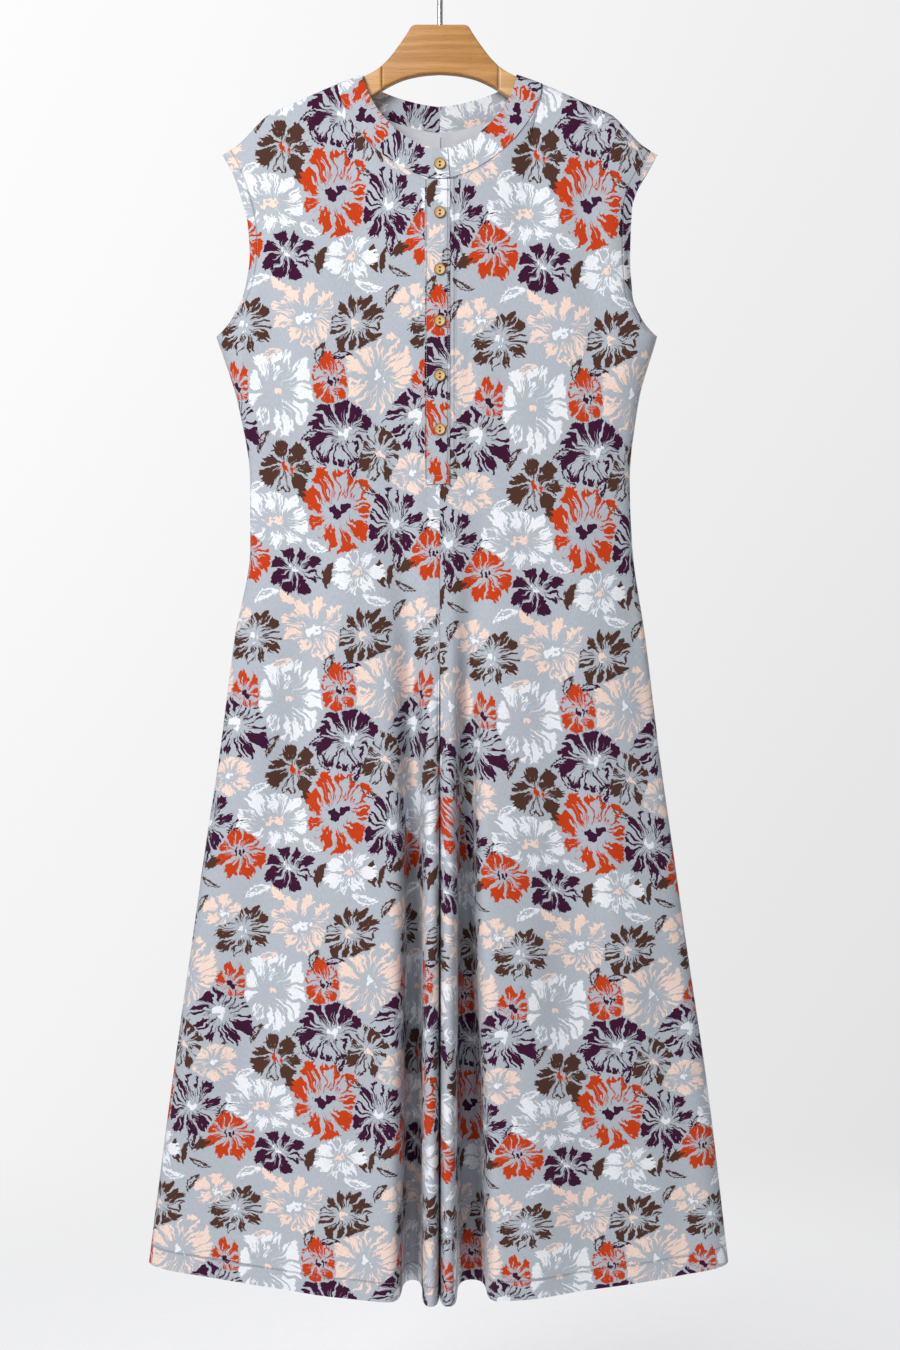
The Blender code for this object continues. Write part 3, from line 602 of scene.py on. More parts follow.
def section(table, drop, turned, sharp):
    """A panel's section at a drop as (across, out) pairs, centre to side."""
    at = {name: float(ease(column(table, "drop"), column(table, name), drop))
          for name in COLUMNS[1:]}
    at["seam"] = min(at["seam"], SLIT_HALF)
    if turned:
        start = (at["seam"], at["seam_out"] + RETURN)
        end = (at["seam"], at["seam_out"] + SEAM_GAP / 2)
    else:
        start = (at["seam"] + SEAM_GAP / 2 + RETURN, at["seam_out"])
        end = (at["seam"] + SEAM_GAP / 2, at["seam_out"])
    flat = at["side"] - at["crest"]
    steep = float(ease(STEEPENING, (0, 1), drop)) if sharp else 0
    fold = at["fold"]
    half = at["half"] + steep * (STEEP_FOLD - at["half"])
    fold += steep * (half + SLIT_HALF - fold)
    rim = at["crest"] - at["half"]
    floor_start = at["valley"] - at["half"]
    floor_start += steep * (fold + half + STEEP_FLOOR - floor_start)
    floor_end = at["valley"] + at["half"]
    floor_end += steep * (rim - STEEP_RIM - floor_end)
    corners = (
        start,
        (fold - half, at["fold_out"]),
        (fold + half, at["fold_out"]),
        (floor_start, at["valley_out"]),
        (floor_end, at["valley_out"]),
        (rim, at["crest_out"]),
        (at["crest"] + CREST_LENGTH * at["half"], at["crest_out"]),
        (at["crest"] + BELLY_PLACE * flat, at["belly_out"]),
        (at["crest"] + FLANK_PLACE * flat, at["flank_out"]),
        (at["side"], at["side_out"]),
        (at["side"], RETURN),
    )
    path = rounded_path(corners, STEPS)
    return np.vstack((end, path, (at["side"], SEAM_GAP / 2)))


def shoulder_drop(across):
    """Drop of the line along which the cloth folds over the hanger's arm."""
    return follow(SHOULDER, across)


def folded_over(across, drop, out):
    """Bring a point's out to nothing, in an arc, where it nears the shoulder line."""
    below = np.clip(drop - shoulder_drop(np.abs(across)), 0, FOLD_RADIUS)
    return out * np.sqrt(1 - (1 - below / FOLD_RADIUS) ** 2)


def neck_shares(first_share, count):
    """Shares of the way from the centre to the shoulder, one a column of the neck."""
    left = np.arange(count, -1, -1) / count
    return 1 - (1 - first_share) * left ** NECK_CROWDING


def neck_curve(share, half, top, depth, power, middle_out):
    """A neck edge's (across, drop, out) at a share of the way to the shoulder."""
    turn = share * math.pi / 2
    out = ARM_COVER + (middle_out - ARM_COVER) * math.cos(turn)
    return np.array((half * math.sin(turn) ** power,
                     top + depth * max(math.cos(turn), 0.0) ** power, out))


class Side:
    """Measures that set the front apart from the back."""

    def __init__(self, facing, neck_depth, band_depth, power, neck_out, band_out, fork):
        self.facing = facing          # -1 in front, +1 behind
        self.neck_depth = neck_depth
        self.band_depth = band_depth
        self.power = power
        self.neck_out = neck_out
        self.band_out = band_out
        self.fork = fork              # from this drop the seam is the inseam

    def neck_edge(self, share):
        return neck_curve(share, NECK_HALF, NECK_DROP, self.neck_depth, self.power,
                          self.neck_out)

    def band_edge(self, share):
        return neck_curve(share, BAND_TOP_HALF, BAND_TOP_DROP, self.band_depth,
                          self.power, self.band_out)

    def share_at(self, across):
        """The share of the way to the shoulder at which the seam is this far across."""
        return math.asin((across / NECK_HALF) ** (1 / self.power)) / (math.pi / 2)


FRONT_SIDE = Side(facing=-1, neck_depth=110.5, band_depth=88, power=1.21, neck_out=28,
                  band_out=25, fork=CROTCH)
BACK_SIDE = Side(facing=1, neck_depth=46.5, band_depth=28.5, power=1.38, neck_out=24,
                 band_out=20, fork=BACK_FORK + 1)


def lower_drops():
    """Drops of a panel's rows from hem to underarm, with every level that matters."""
    levels = (HEM, CROTCH, BACK_FORK + 1, BACK_FORK, PLACKET_END, UNDERARM)
    drops = [HEM]
    for high, low in zip(levels, levels[1:]):
        count = max(1, round((high - low) / ROW_STEP))
        drops += list(np.linspace(high, low, count + 1)[1:])
    return drops


def panel_grid(table, armhole, side, first_column):
    """Rows of (across, drop, out) points for one panel, from its hem to its top edge."""
    rows = []
    for drop in lower_drops():
        path = section(table, drop, drop >= side.fork, side is FRONT_SIDE)
        rise = HEM_RISE * (drop - UNDERARM) / (HEM - UNDERARM)
        drops = drop - rise * (path[:, 0] / path[-1, 0]) ** 2
        rows.append(np.column_stack((path[:, 0], drops, path[:, 1])))
    rows[-1][-1, 2] += ARMHOLE_START

    base = rows[-1].copy()
    base[-1] = base[-2]
    edge = base.copy()
    first = max(first_column, 1)
    shares = neck_shares(side.share_at(base[first, 0]), NECK_COLUMN - first)
    for offset, share in enumerate(shares):
        edge[first + offset] = side.neck_edge(share)
    if first_column == 0:
        edge[0] = edge[1]
        edge[0, 0] = SEAM_GAP / 2
    else:
        edge[:first_column, 1:] = edge[first_column, 1:]
    spread = np.linspace(0, 1, LAST_COLUMN - NECK_COLUMN)
    tip = armhole[0][1] - RETURN
    edge[NECK_COLUMN:-1, 0] = NECK_HALF + (tip - NECK_HALF) * spread
    edge[NECK_COLUMN:-1, 1] = shoulder_drop(edge[NECK_COLUMN:-1, 0])
    edge[NECK_COLUMN:-1, 2] = ARM_COVER + (TIP_OUT - ARM_COVER) * spread ** TIP_CURVE
    edge[-1] = edge[-2]

    heights = base[:, 1] - edge[:, 1]
    anchor = base[first_column, 0]
    lean = np.clip((base[:, 0] - anchor) / (base[-1, 0] - anchor), 0, 1)
    levels = [np.full(LAST_COLUMN + 1, share) for share in UPPER_SHARES]
    levels += [1 - np.minimum(step / heights, 0.1 - 0.005 * place)
               for place, step in enumerate(TOP_STEPS)]
    for level in levels:
        points = base + (edge - base) * level[:, None]
        drop = UNDERARM - (UNDERARM - SHOULDER_TIP) * level[-1]
        pull = follow(armhole, drop) - RETURN - points[-1, 0]
        points[:, 0] += lean * pull
        bulge = ARMHOLE_OUT * math.sin(math.pi * level[-1]) ** EDGE_CURVE
        points[:, 2] += lean ** EDGE_LEAN * bulge
        points[-1, 0] += RETURN
        points[:, 2] = folded_over(points[:, 0], points[:, 1], points[:, 2])
        rows.append(points)
    closed = rows[-1].copy()
    closed[NECK_COLUMN:, 2] = SEAM_GAP / 2
    rows[-1][NECK_COLUMN:, 2] = RETURN
    rows[-1][:NECK_COLUMN, 1] += RETURN
    rows.append(closed)
    return np.array(rows)


def creased(grid, creases):
    """Press soft troughs and ridges into a panel, none of them across its seams."""
    across, drop, out = np.moveaxis(grid, -1, 0)
    free = (np.clip((across[:, -1:] - across) / SIDE_FREE, 0, 1)
            * np.clip((across - CENTRE_KEPT) / CENTRE_FREE, 0, 1)
            * np.clip((drop - drop[-1]) / TOP_FREE, 0, 1))
    for x0, y0, x1, y1, bow, half, height in creases:
        length = math.hypot(x1 - x0, y1 - y0)
        along = np.clip(((across - x0) * (x1 - x0) + (drop - y0) * (y1 - y0))
                        / length ** 2, 0, 1)
        bowed = 4 * bow * along * (1 - along)
        apart = np.hypot(across - x0 - along * (x1 - x0) - bowed,
                         (drop - y0 - along * (y1 - y0)) / 2)
        out = out + height * free * np.exp(-(apart / half) ** 2)
    return np.stack((across, drop, out), axis=-1)


def to_world(points, mirror, facing):
    """Turn (across, drop, out) points into world metres."""
    across, drop, out = np.moveaxis(np.asarray(points, dtype=float), -1, 0)
    return np.stack((mirror * across, facing * out, -drop - DATUM), axis=-1) * MM


class Grain:
    """How the print runs on a panel that hangs stretched by its own weight.

    The first flower's row lies at first_drop; each repeat below it is shorter than
    the one above. At each drop the print's zero line lies this far across.
    """

    def __init__(self, first_drop, repeat, shrink, line):
        self.first_drop = first_drop
        self.repeat = repeat
        self.shrink = shrink
        self.line = line

    def down(self, drop):
        root = np.sqrt(self.repeat ** 2 - 4 * self.shrink * (drop - self.first_drop))
        return (self.repeat - root) / (2 * self.shrink) * REPEAT[1]

    def uv(self, grid, way):
        """Print coordinates, in metres, of a grid; way is 1 where u grows outwards."""
        uv = np.empty(grid.shape[:2] + (2,))
        lines = follow(self.line, grid[:, -1, 1])
        for row, points in enumerate(grid):
            steps = np.hypot(np.diff(points[:, 0]), np.diff(points[:, 2]))
            length = np.concatenate(((0.0,), np.cumsum(steps)))
            start = np.interp(lines[row], points[:, 0], length)
            uv[row, :, 0] = way * (length - start)
            uv[row, :, 1] = self.down(points[:, 1])
        return uv * MM


GRAINS = {
    "front_left": Grain(454, 345, 9.8, ((454, 118), (789, 108), (1105, 125), (1403, 129))),
    "front_right": Grain(473, 354, 14.1, ((454, 160), (789, 151), (1105, 180), (1403, 184))),
    "back_left": Grain(400, 350, 12.0, ((454, 140), (1403, 168))),
    "back_right": Grain(434, 350, 12.0, ((454, 96), (1403, 128))),
}


def hem_distance(grid, below):
    """A panel's hem attribute: SEWN_LINE plus how far a point is in from its stitches.

    It counts from the row along the armhole, and below the underarm from the leg's hem.
    """
    distance = SEWN_LINE - LEG_HEM + grid[:1, :, 1] - grid[..., 1]
    distance[below:] = SEWN_LINE - ARMHOLE_HEM + grid[below:, -1:, 0] - grid[below:, :, 0]
    return distance


def placed(name, data):
    """A new object in the scene, at the origin."""
    piece = bpy.data.objects.new(name, data)
    bpy.context.scene.collection.objects.link(piece)
    return piece


def cloth_sheet(name, points, uv, flip, wall, hem=None, leave_out=None):
    """Lay a sheet through a grid of world points and thicken it, wrong side inside."""
    height, width = points.shape[:2]
    index = np.arange(height * width).reshape(height, width)
    quads = np.stack((index[:-1, :-1], index[:-1, 1:], index[1:, 1:], index[1:, :-1]), -1)
    if flip:
        quads = quads[..., ::-1]
    if leave_out is not None:
        quads = quads[~leave_out]
    quads = quads.reshape(-1, 4)
    used, compact = np.unique(quads, return_inverse=True)
    mesh = bpy.data.meshes.new(name)
    mesh.from_pydata(points.reshape(-1, 3)[used].tolist(), [],
                     compact.reshape(-1, 4).tolist())
    layer = mesh.uv_layers.new(name="print")
    corners = np.empty(len(mesh.loops), dtype=np.int32)
    mesh.loops.foreach_get("vertex_index", corners)
    layer.data.foreach_set("uv", uv.reshape(-1, 2)[used][corners].ravel())
    if hem is not None:
        sewn = mesh.attributes.new("hem", "FLOAT", "POINT")
        sewn.data.foreach_set("value", hem.reshape(-1)[used])
    mesh.shade_smooth()
    mesh.materials.append(PRINTED)
    mesh.materials.append(WRONG_SIDE)
    piece = placed(name, mesh)
    thicken = piece.modifiers.new("Wall", "SOLIDIFY")
    thicken.thickness = wall * MM
    thicken.offset = 0.0
    thicken.material_offset = 1
    plain_mesh(piece, 55)
    return piece


def made_mesh(piece):
    """The plain mesh that a piece's modifiers or its curve make."""
    bpy.context.view_layer.update()
    evaluated = piece.evaluated_get(bpy.context.evaluated_depsgraph_get())
    return bpy.data.meshes.new_from_object(evaluated)


def smooth_but_for(mesh, degrees):
    """Shade a mesh smoothly, with every edge sharper than this kept crisp."""
    mesh.shade_smooth()
    mesh.set_sharp_from_angle(angle=math.radians(degrees))


def plain_mesh(piece, sharp_angle):
    """Replace a piece's modifiers by the mesh they make, with its edges kept crisp."""
    mesh = made_mesh(piece)
    piece.modifiers.clear()
    old = piece.data
    piece.data = mesh
    mesh.name = piece.name
    bpy.data.meshes.remove(old)
    smooth_but_for(mesh, sharp_angle)


def keep(piece, slot, *nodes):
    """A finished piece rides on the only body and may stand for CAD nodes."""
    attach(piece, "root")
    if nodes:
        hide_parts(*nodes)


grids = {}
for label, mirror, table, armhole, creases in (
        ("left", -1, FRONT_LEFT, ARMHOLE_LEFT, LEFT_CREASES),
        ("right", 1, FRONT_RIGHT, ARMHOLE_RIGHT, RIGHT_CREASES)):
    front = creased(panel_grid(table, armhole, FRONT_SIDE, SLIT_COLUMN), creases)
    side_line = column(table, "drop"), column(table, "side")
    back_table = [(row[0], float(ease(*side_line, row[0])), *row[2:]) for row in BACK]
    # The two backs are creased a little differently.
    shifted = [(x0 + 6 * mirror, y0 + 12 * mirror, x1 + 4 * mirror, *rest)
               for x0, y0, x1, *rest in BACK_CREASES]
    back = creased(panel_grid(back_table, armhole, BACK_SIDE, 0), shifted)
    for name, grid, facing in (("front_" + label, front, -1), ("back_" + label, back, 1)):
        grids[name] = grid
        slit = None
        if facing < 0:
            slit = np.zeros((grid.shape[0] - 1, grid.shape[1] - 1), dtype=bool)
            slit[lower_drops().index(PLACKET_END):, :SLIT_COLUMN] = True
        uv = GRAINS[name].uv(grid, -mirror * facing)
        panel = cloth_sheet(name + "_cloth", to_world(grid, mirror, facing), uv,
                            mirror * facing > 0, WALL,
                            hem_distance(grid, len(lower_drops())), slit)
        keep(panel, "printed_cloth", name)


# ---- Placket ----------------------------------------------------------------------
# Two strips of double cloth finish the slit below the neck. The upper one, with the
# buttonholes, is sewn down along its left edge and laps over the under one.

LAYER_STEP = 1.7      # from one strip's middle to the next layer's
UPPER_LEFT = -16
UPPER_RIGHT = 10.5
UPPER_END = 567
UPPER_SHIFT = -2.3    # where the print's zero line lies on each strip, from the centre
UNDER_SHIFT = -161
STRIP_WALL = 1.6
STRIP_ROWS = 110
STRIP_COLUMNS = 14
STRIP_EDGE = 0.7      # width of the first cell beside each edge
EDGE_DIP = 0.35       # how far an edge rounds off, and over what width
EDGE_WIDTH = 0.8
SEWN_DIP = 0.55       # how much closer the sewn edge lies, and over what width
SEWN_SPREAD = 3.0
STRIP_STITCHES = 1.6  # how far in from a strip's edges its stitches run
PLACKET_GRAIN = Grain(382, 345, 9.8, ((403, 0), (1440, 0)))


def centre_out(drop):
    """How far out the front stands along its centre line."""
    chest = column(FRONT_LEFT, "fold_out")[0]
    neck = FRONT_SIDE.neck_out
    start = FRONT_SIDE.neck_edge(0)[1]
    above = neck + (chest - neck) * (drop - start) / (UNDERARM - start)
    below = ease(column(FRONT_LEFT, "drop"), column(FRONT_LEFT, "fold_out"), drop)
    return np.where(np.asarray(drop) < UNDERARM, above, below)


def strip(name, left, right, start, end, lift, shift, grain, sewn_edge):
    """A long narrow strip, whose sewn edge lies a little closer to the panel."""
    drops = np.linspace(start, end, STRIP_ROWS)
    inner = np.linspace(left + STRIP_STITCHES, right - STRIP_STITCHES, STRIP_COLUMNS)
    across = np.concatenate(((left, left + STRIP_EDGE), inner, (right - STRIP_EDGE, right)))
    points = np.empty((len(drops), len(across), 3))
    points[..., 0] = across
    points[..., 1] = drops[:, None]
    rounding = np.minimum(across - left, right - across)
    edge = -EDGE_DIP * np.exp(-(rounding / EDGE_WIDTH) ** 2)
    if sewn_edge:
        edge = edge - SEWN_DIP * np.exp(-((across - left) / SEWN_SPREAD) ** 2)
    # It is never quite flat: two soft ripples run down it and die out at its right.
    ripple = 0.25 * np.sin(drops / 19.0) + 0.18 * np.sin(drops / 7.3 + 1)
    ripple = ripple[:, None] * np.clip((right - across) / 12, 0, 1)
    points[..., 2] = centre_out(drops)[:, None] + lift + edge + ripple * 0.6
    uv = np.empty(points.shape[:2] + (2,))
    uv[..., 0] = (across + shift) * MM
    uv[..., 1] = grain.down(drops)[:, None] * MM
    hem = np.broadcast_to(SEWN_LINE - STRIP_STITCHES + rounding, points.shape[:2])
    piece = cloth_sheet(name + "_cloth", to_world(points, 1, -1), uv, True, STRIP_WALL, hem)
    keep(piece, "printed_cloth", name)
    return points


neck_front = FRONT_SIDE.neck_edge(0)[1]
upper_strip = strip("placket_upper", UPPER_LEFT, UPPER_RIGHT, neck_front + 1.2, UPPER_END,
                    LAYER_STEP, UPPER_SHIFT, PLACKET_GRAIN, True)
strip("placket_under", -SLIT_LEFT + SEAM_GAP, SLIT_RIGHT - SEAM_GAP, neck_front + 0.6,
      PLACKET_END - 2 * SEAM_GAP, 0.0, UNDER_SHIFT, GRAINS["front_right"], False)


# ---- Neckband ---------------------------------------------------------------------
# A stand-up band of doubled cloth round the neck, joined at centre back. At the front
# the left half laps over the right half, and the first button closes it.

BAND_WALL = 1.5
BAND_STEP = 2.1       # from the under half's middle to the upper half's at the lap
BAND_CROWN = 0.5      # how far the band's middle swells
SEAM_RISE = 0.9       # and how far it stands off at its seam, over a share of its width
SEAM_SPREAD = 0.1
LAP_SETTLED = 24      # how far from the centre the upper half lies on the panel again
BAND_LEVELS = (-0.02, 0.0, 0.03, 0.1, 0.25, 0.5, 0.7, 0.85, 0.95, 0.98, 1.0)
BAND_SHIFT = {"left": (114, 157), "right": (99, 157)}   # where the print starts on it


def band_column(side, share, mirror, lift):
    """Points across the neckband, from its seam to its free edge."""
    low = side.neck_edge(share)
    high = side.band_edge(share)
    points = []
    for level in BAND_LEVELS:
        point = low + (high - low) * level
        crown = (BAND_CROWN * math.sin(math.pi * level)
                 + SEAM_RISE * math.exp(-(level / SEAM_SPREAD) ** 2))
        point[2] = folded_over(point[0], point[1], point[2]) + lift + crown
        points.append(point)
    return to_world(points, mirror, side.facing)


def finer(values, steps):
    """Fill in between the values, each gap in equal steps."""
    return np.interp(np.arange((len(values) - 1) * steps + 1) / steps,
                     np.arange(len(values)), values)


def neckband(label, mirror, lap, lap_lift, first_share):
    """Half of the neckband, from its lap at the front to the seam at centre back."""
    columns = []
    for across in finer(lap, 6)[:-1]:
        share = FRONT_SIDE.share_at(abs(across))
        way = mirror if across * mirror > 0 else -mirror
        columns.append(band_column(FRONT_SIDE, share, way, lap_lift))
    front = neck_shares(first_share, 48)
    behind = neck_shares(BACK_SIDE.share_at(6), 40)[::-1]
    columns += [band_column(FRONT_SIDE, share, mirror, 0.0) for share in front]
    columns += [band_column(BACK_SIDE, share, mirror, 0.0) for share in behind[1:]]
    centre = columns[-1].copy()
    centre[:, 0] = mirror * SEAM_GAP / 2 * MM
    for share in (0.75, 0.5, 0.25, 0.0):
        columns.append(centre + (columns[-1] - centre) * share)
    points = np.array(columns)
    middle = points[:, BAND_LEVELS.index(0.5)]
    steps = np.linalg.norm(np.diff(middle, axis=0), axis=1)
    length = np.concatenate(((0.0,), np.cumsum(steps))) / MM
    widths = np.linalg.norm(points[:, -1] - points[:, 0], axis=1) / MM
    print_across, print_down = BAND_SHIFT[label]
    uv = np.empty(points.shape[:2] + (2,))
    uv[..., 0] = (print_across + mirror * length[:, None]) * MM
    uv[..., 1] = (print_down - np.array(BAND_LEVELS) * widths[:, None]) * MM
    name = "neckband_" + label
    piece = cloth_sheet(name + "_cloth", points, uv, mirror < 0, BAND_WALL)
    piece.data.materials[1] = PRINTED
    keep(piece, "printed_cloth", name)


neckband("left", -1, (UPPER_RIGHT, 0.5, -SLIT_LEFT - 1), BAND_STEP,
         FRONT_SIDE.share_at(LAP_SETTLED))
neckband("right", 1, (-SLIT_LEFT, 0.5, SLIT_RIGHT), 0.0, FRONT_SIDE.share_at(SLIT_RIGHT))


# ---- Buttons ----------------------------------------------------------------------
# Six small wooden buttons, turned with a raised rim and a dished middle, sewn on with
# pale thread through two holes.

BUTTON_DROPS = (220, 273, 335, 391, 450, 508)
HOLE_APART = 3.6
HOLE_RADIUS = 1.1
HOLE_FLOOR = 0.3      # wood left behind each hole
HOLE_SHADE = 0.3      # width of the painted shade round each hole
RIM_START = 4.9       # from here out to RIM_END the rim grows dark
RIM_END = 5.9
DRILL = 12            # length of the tool that makes a hole
THREAD_OUT = 1.75
STRAND_RADIUS = 0.24
STRAND_LENGTH = 2.2
STRAND_APART = 0.56
STRIP_SEAT = 0.35     # room between a button and the cloth below it
BAND_SEAT = 0.6
BUTTON_PROFILE = ((0, 1.5), (3.4, 1.5), (4.4, 1.75), (4.9, 2.35), (5.5, 2.6), (5.95, 2.45),
                  (6.25, 2.0), (6.3, 1.3), (6.2, 0.6), (5.7, 0.15), (4.8, 0), (0, 0))


def button_wood():
    material, tree, shader = new_material("button_wood", 0.4)
    place = coordinates(tree, "UV")
    out = place.length()
    grain = place.scaled(90, 900, 0).noise(1.0, 3.0, 0.6)
    wood = grain.smooth(0.3, 0.7).between(linear(222, 186, 122), linear(190, 148, 86))
    rim = out.smooth(RIM_START * MM, RIM_END * MM)
    wood = wood.pick(rim * 0.9, linear(92, 58, 28), True)
    # Round each hole the wood is painted dark brown, as painted shade from the hole.
    hole = place.vector("ABSOLUTE").vector("DISTANCE", (0, HOLE_APART / 2 * MM, 0), output=1)
    away = hole.smooth(HOLE_RADIUS * MM, (HOLE_RADIUS + HOLE_SHADE) * MM)
    wood.pick(1 - away, linear(38, 26, 20), True).feed(shader, "Base Color")
    bumpy(shader, grain, 0.0001)
    return material


def thread():
    material, tree, shader = new_material("thread", 0.7, sheen=0.3)
    place = coordinates(tree, "Object")
    twist = place.noise(2600.0, 1.0)
    shade = twist.between(linear(170, 176, 184), linear(206, 210, 216))
    shade.feed(shader, "Base Color")
    bumpy(shader, twist, 0.0001)
    return material


BUTTON_WOOD = button_wood()
THREAD = thread()


def turned(profile, segments):
    """A closed mesh turned round the Z axis from a profile of (radius, height)."""
    shape = bmesh.new()
    verts = [shape.verts.new((radius * MM, 0, height * MM)) for radius, height in profile]
    edges = [shape.edges.new(pair) for pair in zip(verts, verts[1:])]
    bmesh.ops.spin(shape, geom=verts + edges, cent=(0, 0, 0), axis=(0, 0, 1),
                   angle=2 * math.pi, steps=segments, use_merge=True)
    bmesh.ops.remove_doubles(shape, verts=shape.verts, dist=0.00001)
    bmesh.ops.recalc_face_normals(shape, faces=shape.faces)
    return shape


def to_front(mesh, out, drop):
    """Turn a mesh that faces +Z to face the front, at its place on the centre line."""
    co = np.empty(len(mesh.vertices) * 3, dtype=np.float32)
    mesh.vertices.foreach_get("co", co)
    co = co.reshape(-1, 3)
    placed = np.stack((co[:, 0], -out * MM - co[:, 2], co[:, 1] - (drop + DATUM) * MM), -1)
    mesh.vertices.foreach_set("co", placed.ravel())
    mesh.update()


def piece_from(shape, name, material):
    """An object of a bmesh, with flat UVs taken from its own X and Y."""
    mesh = bpy.data.meshes.new(name)
    flat = shape.loops.layers.uv.new("flat")
    for face in shape.faces:
        for loop in face.loops:
            loop[flat].uv = loop.vert.co.xy
    shape.to_mesh(mesh)
    shape.free()
    mesh.materials.append(material)
    return placed(name, mesh)


def band_button_out():
    """How far out the neckband's outer face stands at its button."""
    low = FRONT_SIDE.neck_edge(0)
    high = FRONT_SIDE.band_edge(0)
    share = (low[1] - BUTTON_DROPS[0]) / (low[1] - high[1])
    return low[2] + (high[2] - low[2]) * share + BAND_STEP + BAND_WALL / 2 + BAND_SEAT


for number, drop in enumerate(BUTTON_DROPS, 1):
    seat = float(centre_out(drop)) + LAYER_STEP + WALL / 2 + STRIP_SEAT
    if number == 1:
        seat = band_button_out()
    button = piece_from(turned(BUTTON_PROFILE, 48), f"button_{number}_turned", BUTTON_WOOD)
    for way in (-1, 1):
        drill = bmesh.new()
        bmesh.ops.create_cone(drill, cap_ends=True, segments=20, radius1=HOLE_RADIUS * MM,
                              radius2=HOLE_RADIUS * MM, depth=DRILL * MM)
        bmesh.ops.translate(drill, verts=drill.verts,
                            vec=(0, way * HOLE_APART / 2 * MM, (DRILL / 2 + HOLE_FLOOR) * MM))
        cutter = piece_from(drill, "drill", BUTTON_WOOD)
        cut = button.modifiers.new("Hole", "BOOLEAN")
        cut.operation = "DIFFERENCE"
        cut.object = cutter
        plain_mesh(button, 40)
        bpy.data.objects.remove(cutter)
    to_front(button.data, seat + SEAM_GAP, drop)
    keep(button, "button_wood", f"button_{number}")

    strands = bmesh.new()
    for offset in (-STRAND_APART / 2, STRAND_APART / 2):
        made = bmesh.ops.create_cone(strands, cap_ends=True, segments=8,
                                     radius1=STRAND_RADIUS * MM, radius2=STRAND_RADIUS * MM,
                                     depth=STRAND_LENGTH * MM)
        for vert in made["verts"]:
            vert.co = (vert.co.x + offset * MM, vert.co.z, vert.co.y + THREAD_OUT * MM)
    bmesh.ops.recalc_face_normals(strands, faces=strands.faces)
    sewn = piece_from(strands, f"button_thread_{number}", THREAD)
    to_front(sewn.data, seat + SEAM_GAP, drop)
    sewn.data.shade_smooth()
    keep(sewn, "printed_cloth")


# ---- Topstitching -----------------------------------------------------------------
# Rows of fine machine stitches hold the hems, the armholes and the placket. Geometry
# Nodes set one stitch after another along each row.

STITCH_PITCH = 2.9
STITCH_LENGTH = 2.2
STITCH_THICKNESS = 0.42
OVERLOCK_PITCH = 1.5
OVERLOCK_LENGTH = 1.9
OVERLOCK_THICKNESS = 1.4
STITCH_PROUD = 0.12          # how far a stitch's middle stands off the cloth
END_STITCHES = 9.0           # how far above the placket's end its second row runs


def stitch_tree():
    """A tree that lays a small stitch at each step along every edge chain."""
    tree = bpy.data.node_groups.new("Stitches", "GeometryNodeTree")
    face = tree.interface
    face.new_socket("Geometry", in_out="INPUT", socket_type="NodeSocketGeometry")
    for name in ("Pitch", "Length", "Thickness"):
        face.new_socket(name, in_out="INPUT", socket_type="NodeSocketFloat")
    face.new_socket("Thread", in_out="INPUT", socket_type="NodeSocketMaterial")
    face.new_socket("Seed", in_out="INPUT", socket_type="NodeSocketInt")
    face.new_socket("Geometry", in_out="OUTPUT", socket_type="NodeSocketGeometry")
    given = tree.nodes.new("NodeGroupInput").outputs

    def node(kind, settings=None, sockets=None):
        made = tree.nodes.new(kind)
        for name, value in (settings or {}).items():
            setattr(made, name, value)
        for name, value in (sockets or {}).items():
            if isinstance(value, bpy.types.NodeSocket):
                tree.links.new(value, made.inputs[name])
            else:
                made.inputs[name].default_value = value
        return made.outputs

    row = node("GeometryNodeMeshToCurve", {}, {"Mesh": given["Geometry"]})[0]
    row = node("GeometryNodeResampleCurve", {"mode": "LENGTH"},
               {"Curve": row, "Length": given["Pitch"]})[0]
    bead = node("GeometryNodeMeshUVSphere", {}, {"Segments": 6, "Rings": 4, "Radius": 0.5})[0]
    size = node("ShaderNodeCombineXYZ", {}, {"X": given["Length"], "Y": given["Thickness"],
                                             "Z": given["Thickness"]})[0]
    uneven = node("FunctionNodeRandomValue", {"data_type": "FLOAT"},
                  {2: 0.86, 3: 1.12, "Seed": given["Seed"]})[1]
    size = node("ShaderNodeVectorMath", {"operation": "SCALE"}, {0: size, "Scale": uneven})[0]
    tangent = node("GeometryNodeInputTangent")[0]
    turn = node("FunctionNodeAlignRotationToVector", {"axis": "X"}, {"Vector": tangent})[0]
    laid = node("GeometryNodeInstanceOnPoints", {},
                {"Points": row, "Instance": bead, "Rotation": turn, "Scale": size})[0]
    real = node("GeometryNodeRealizeInstances", {}, {"Geometry": laid})[0]
    done = node("GeometryNodeSetMaterial", {}, {"Geometry": real,
                                                "Material": given["Thread"]})[0]
    node("NodeGroupOutput", {}, {"Geometry": done})
    return tree


STITCHES = stitch_tree()


def stitch_rows(name, rows, seed, pitch=STITCH_PITCH, length=STITCH_LENGTH,
                thickness=STITCH_THICKNESS):
    """Sew rows of stitches, each given as a list of world points."""
    verts = []
    edges = []
    for row in rows:
        start = len(verts)
        verts += [tuple(point) for point in row]
        edges += [(i, i + 1) for i in range(start, len(verts) - 1)]
    mesh = bpy.data.meshes.new(name)
    mesh.from_pydata(verts, edges, [])
    piece = placed(name, mesh)
    sewing = piece.modifiers.new("Sewing", "NODES")
    sewing.node_group = STITCHES
    values = {"Pitch": pitch * MM, "Length": length * MM, "Thickness": thickness * MM,
              "Thread": THREAD, "Seed": seed}
    for socket in STITCHES.interface.items_tree:
        if socket.in_out == "INPUT" and socket.name in values:
            sewing[socket.identifier] = values[socket.name]
    plain_mesh(piece, 180)
    keep(piece, "printed_cloth")


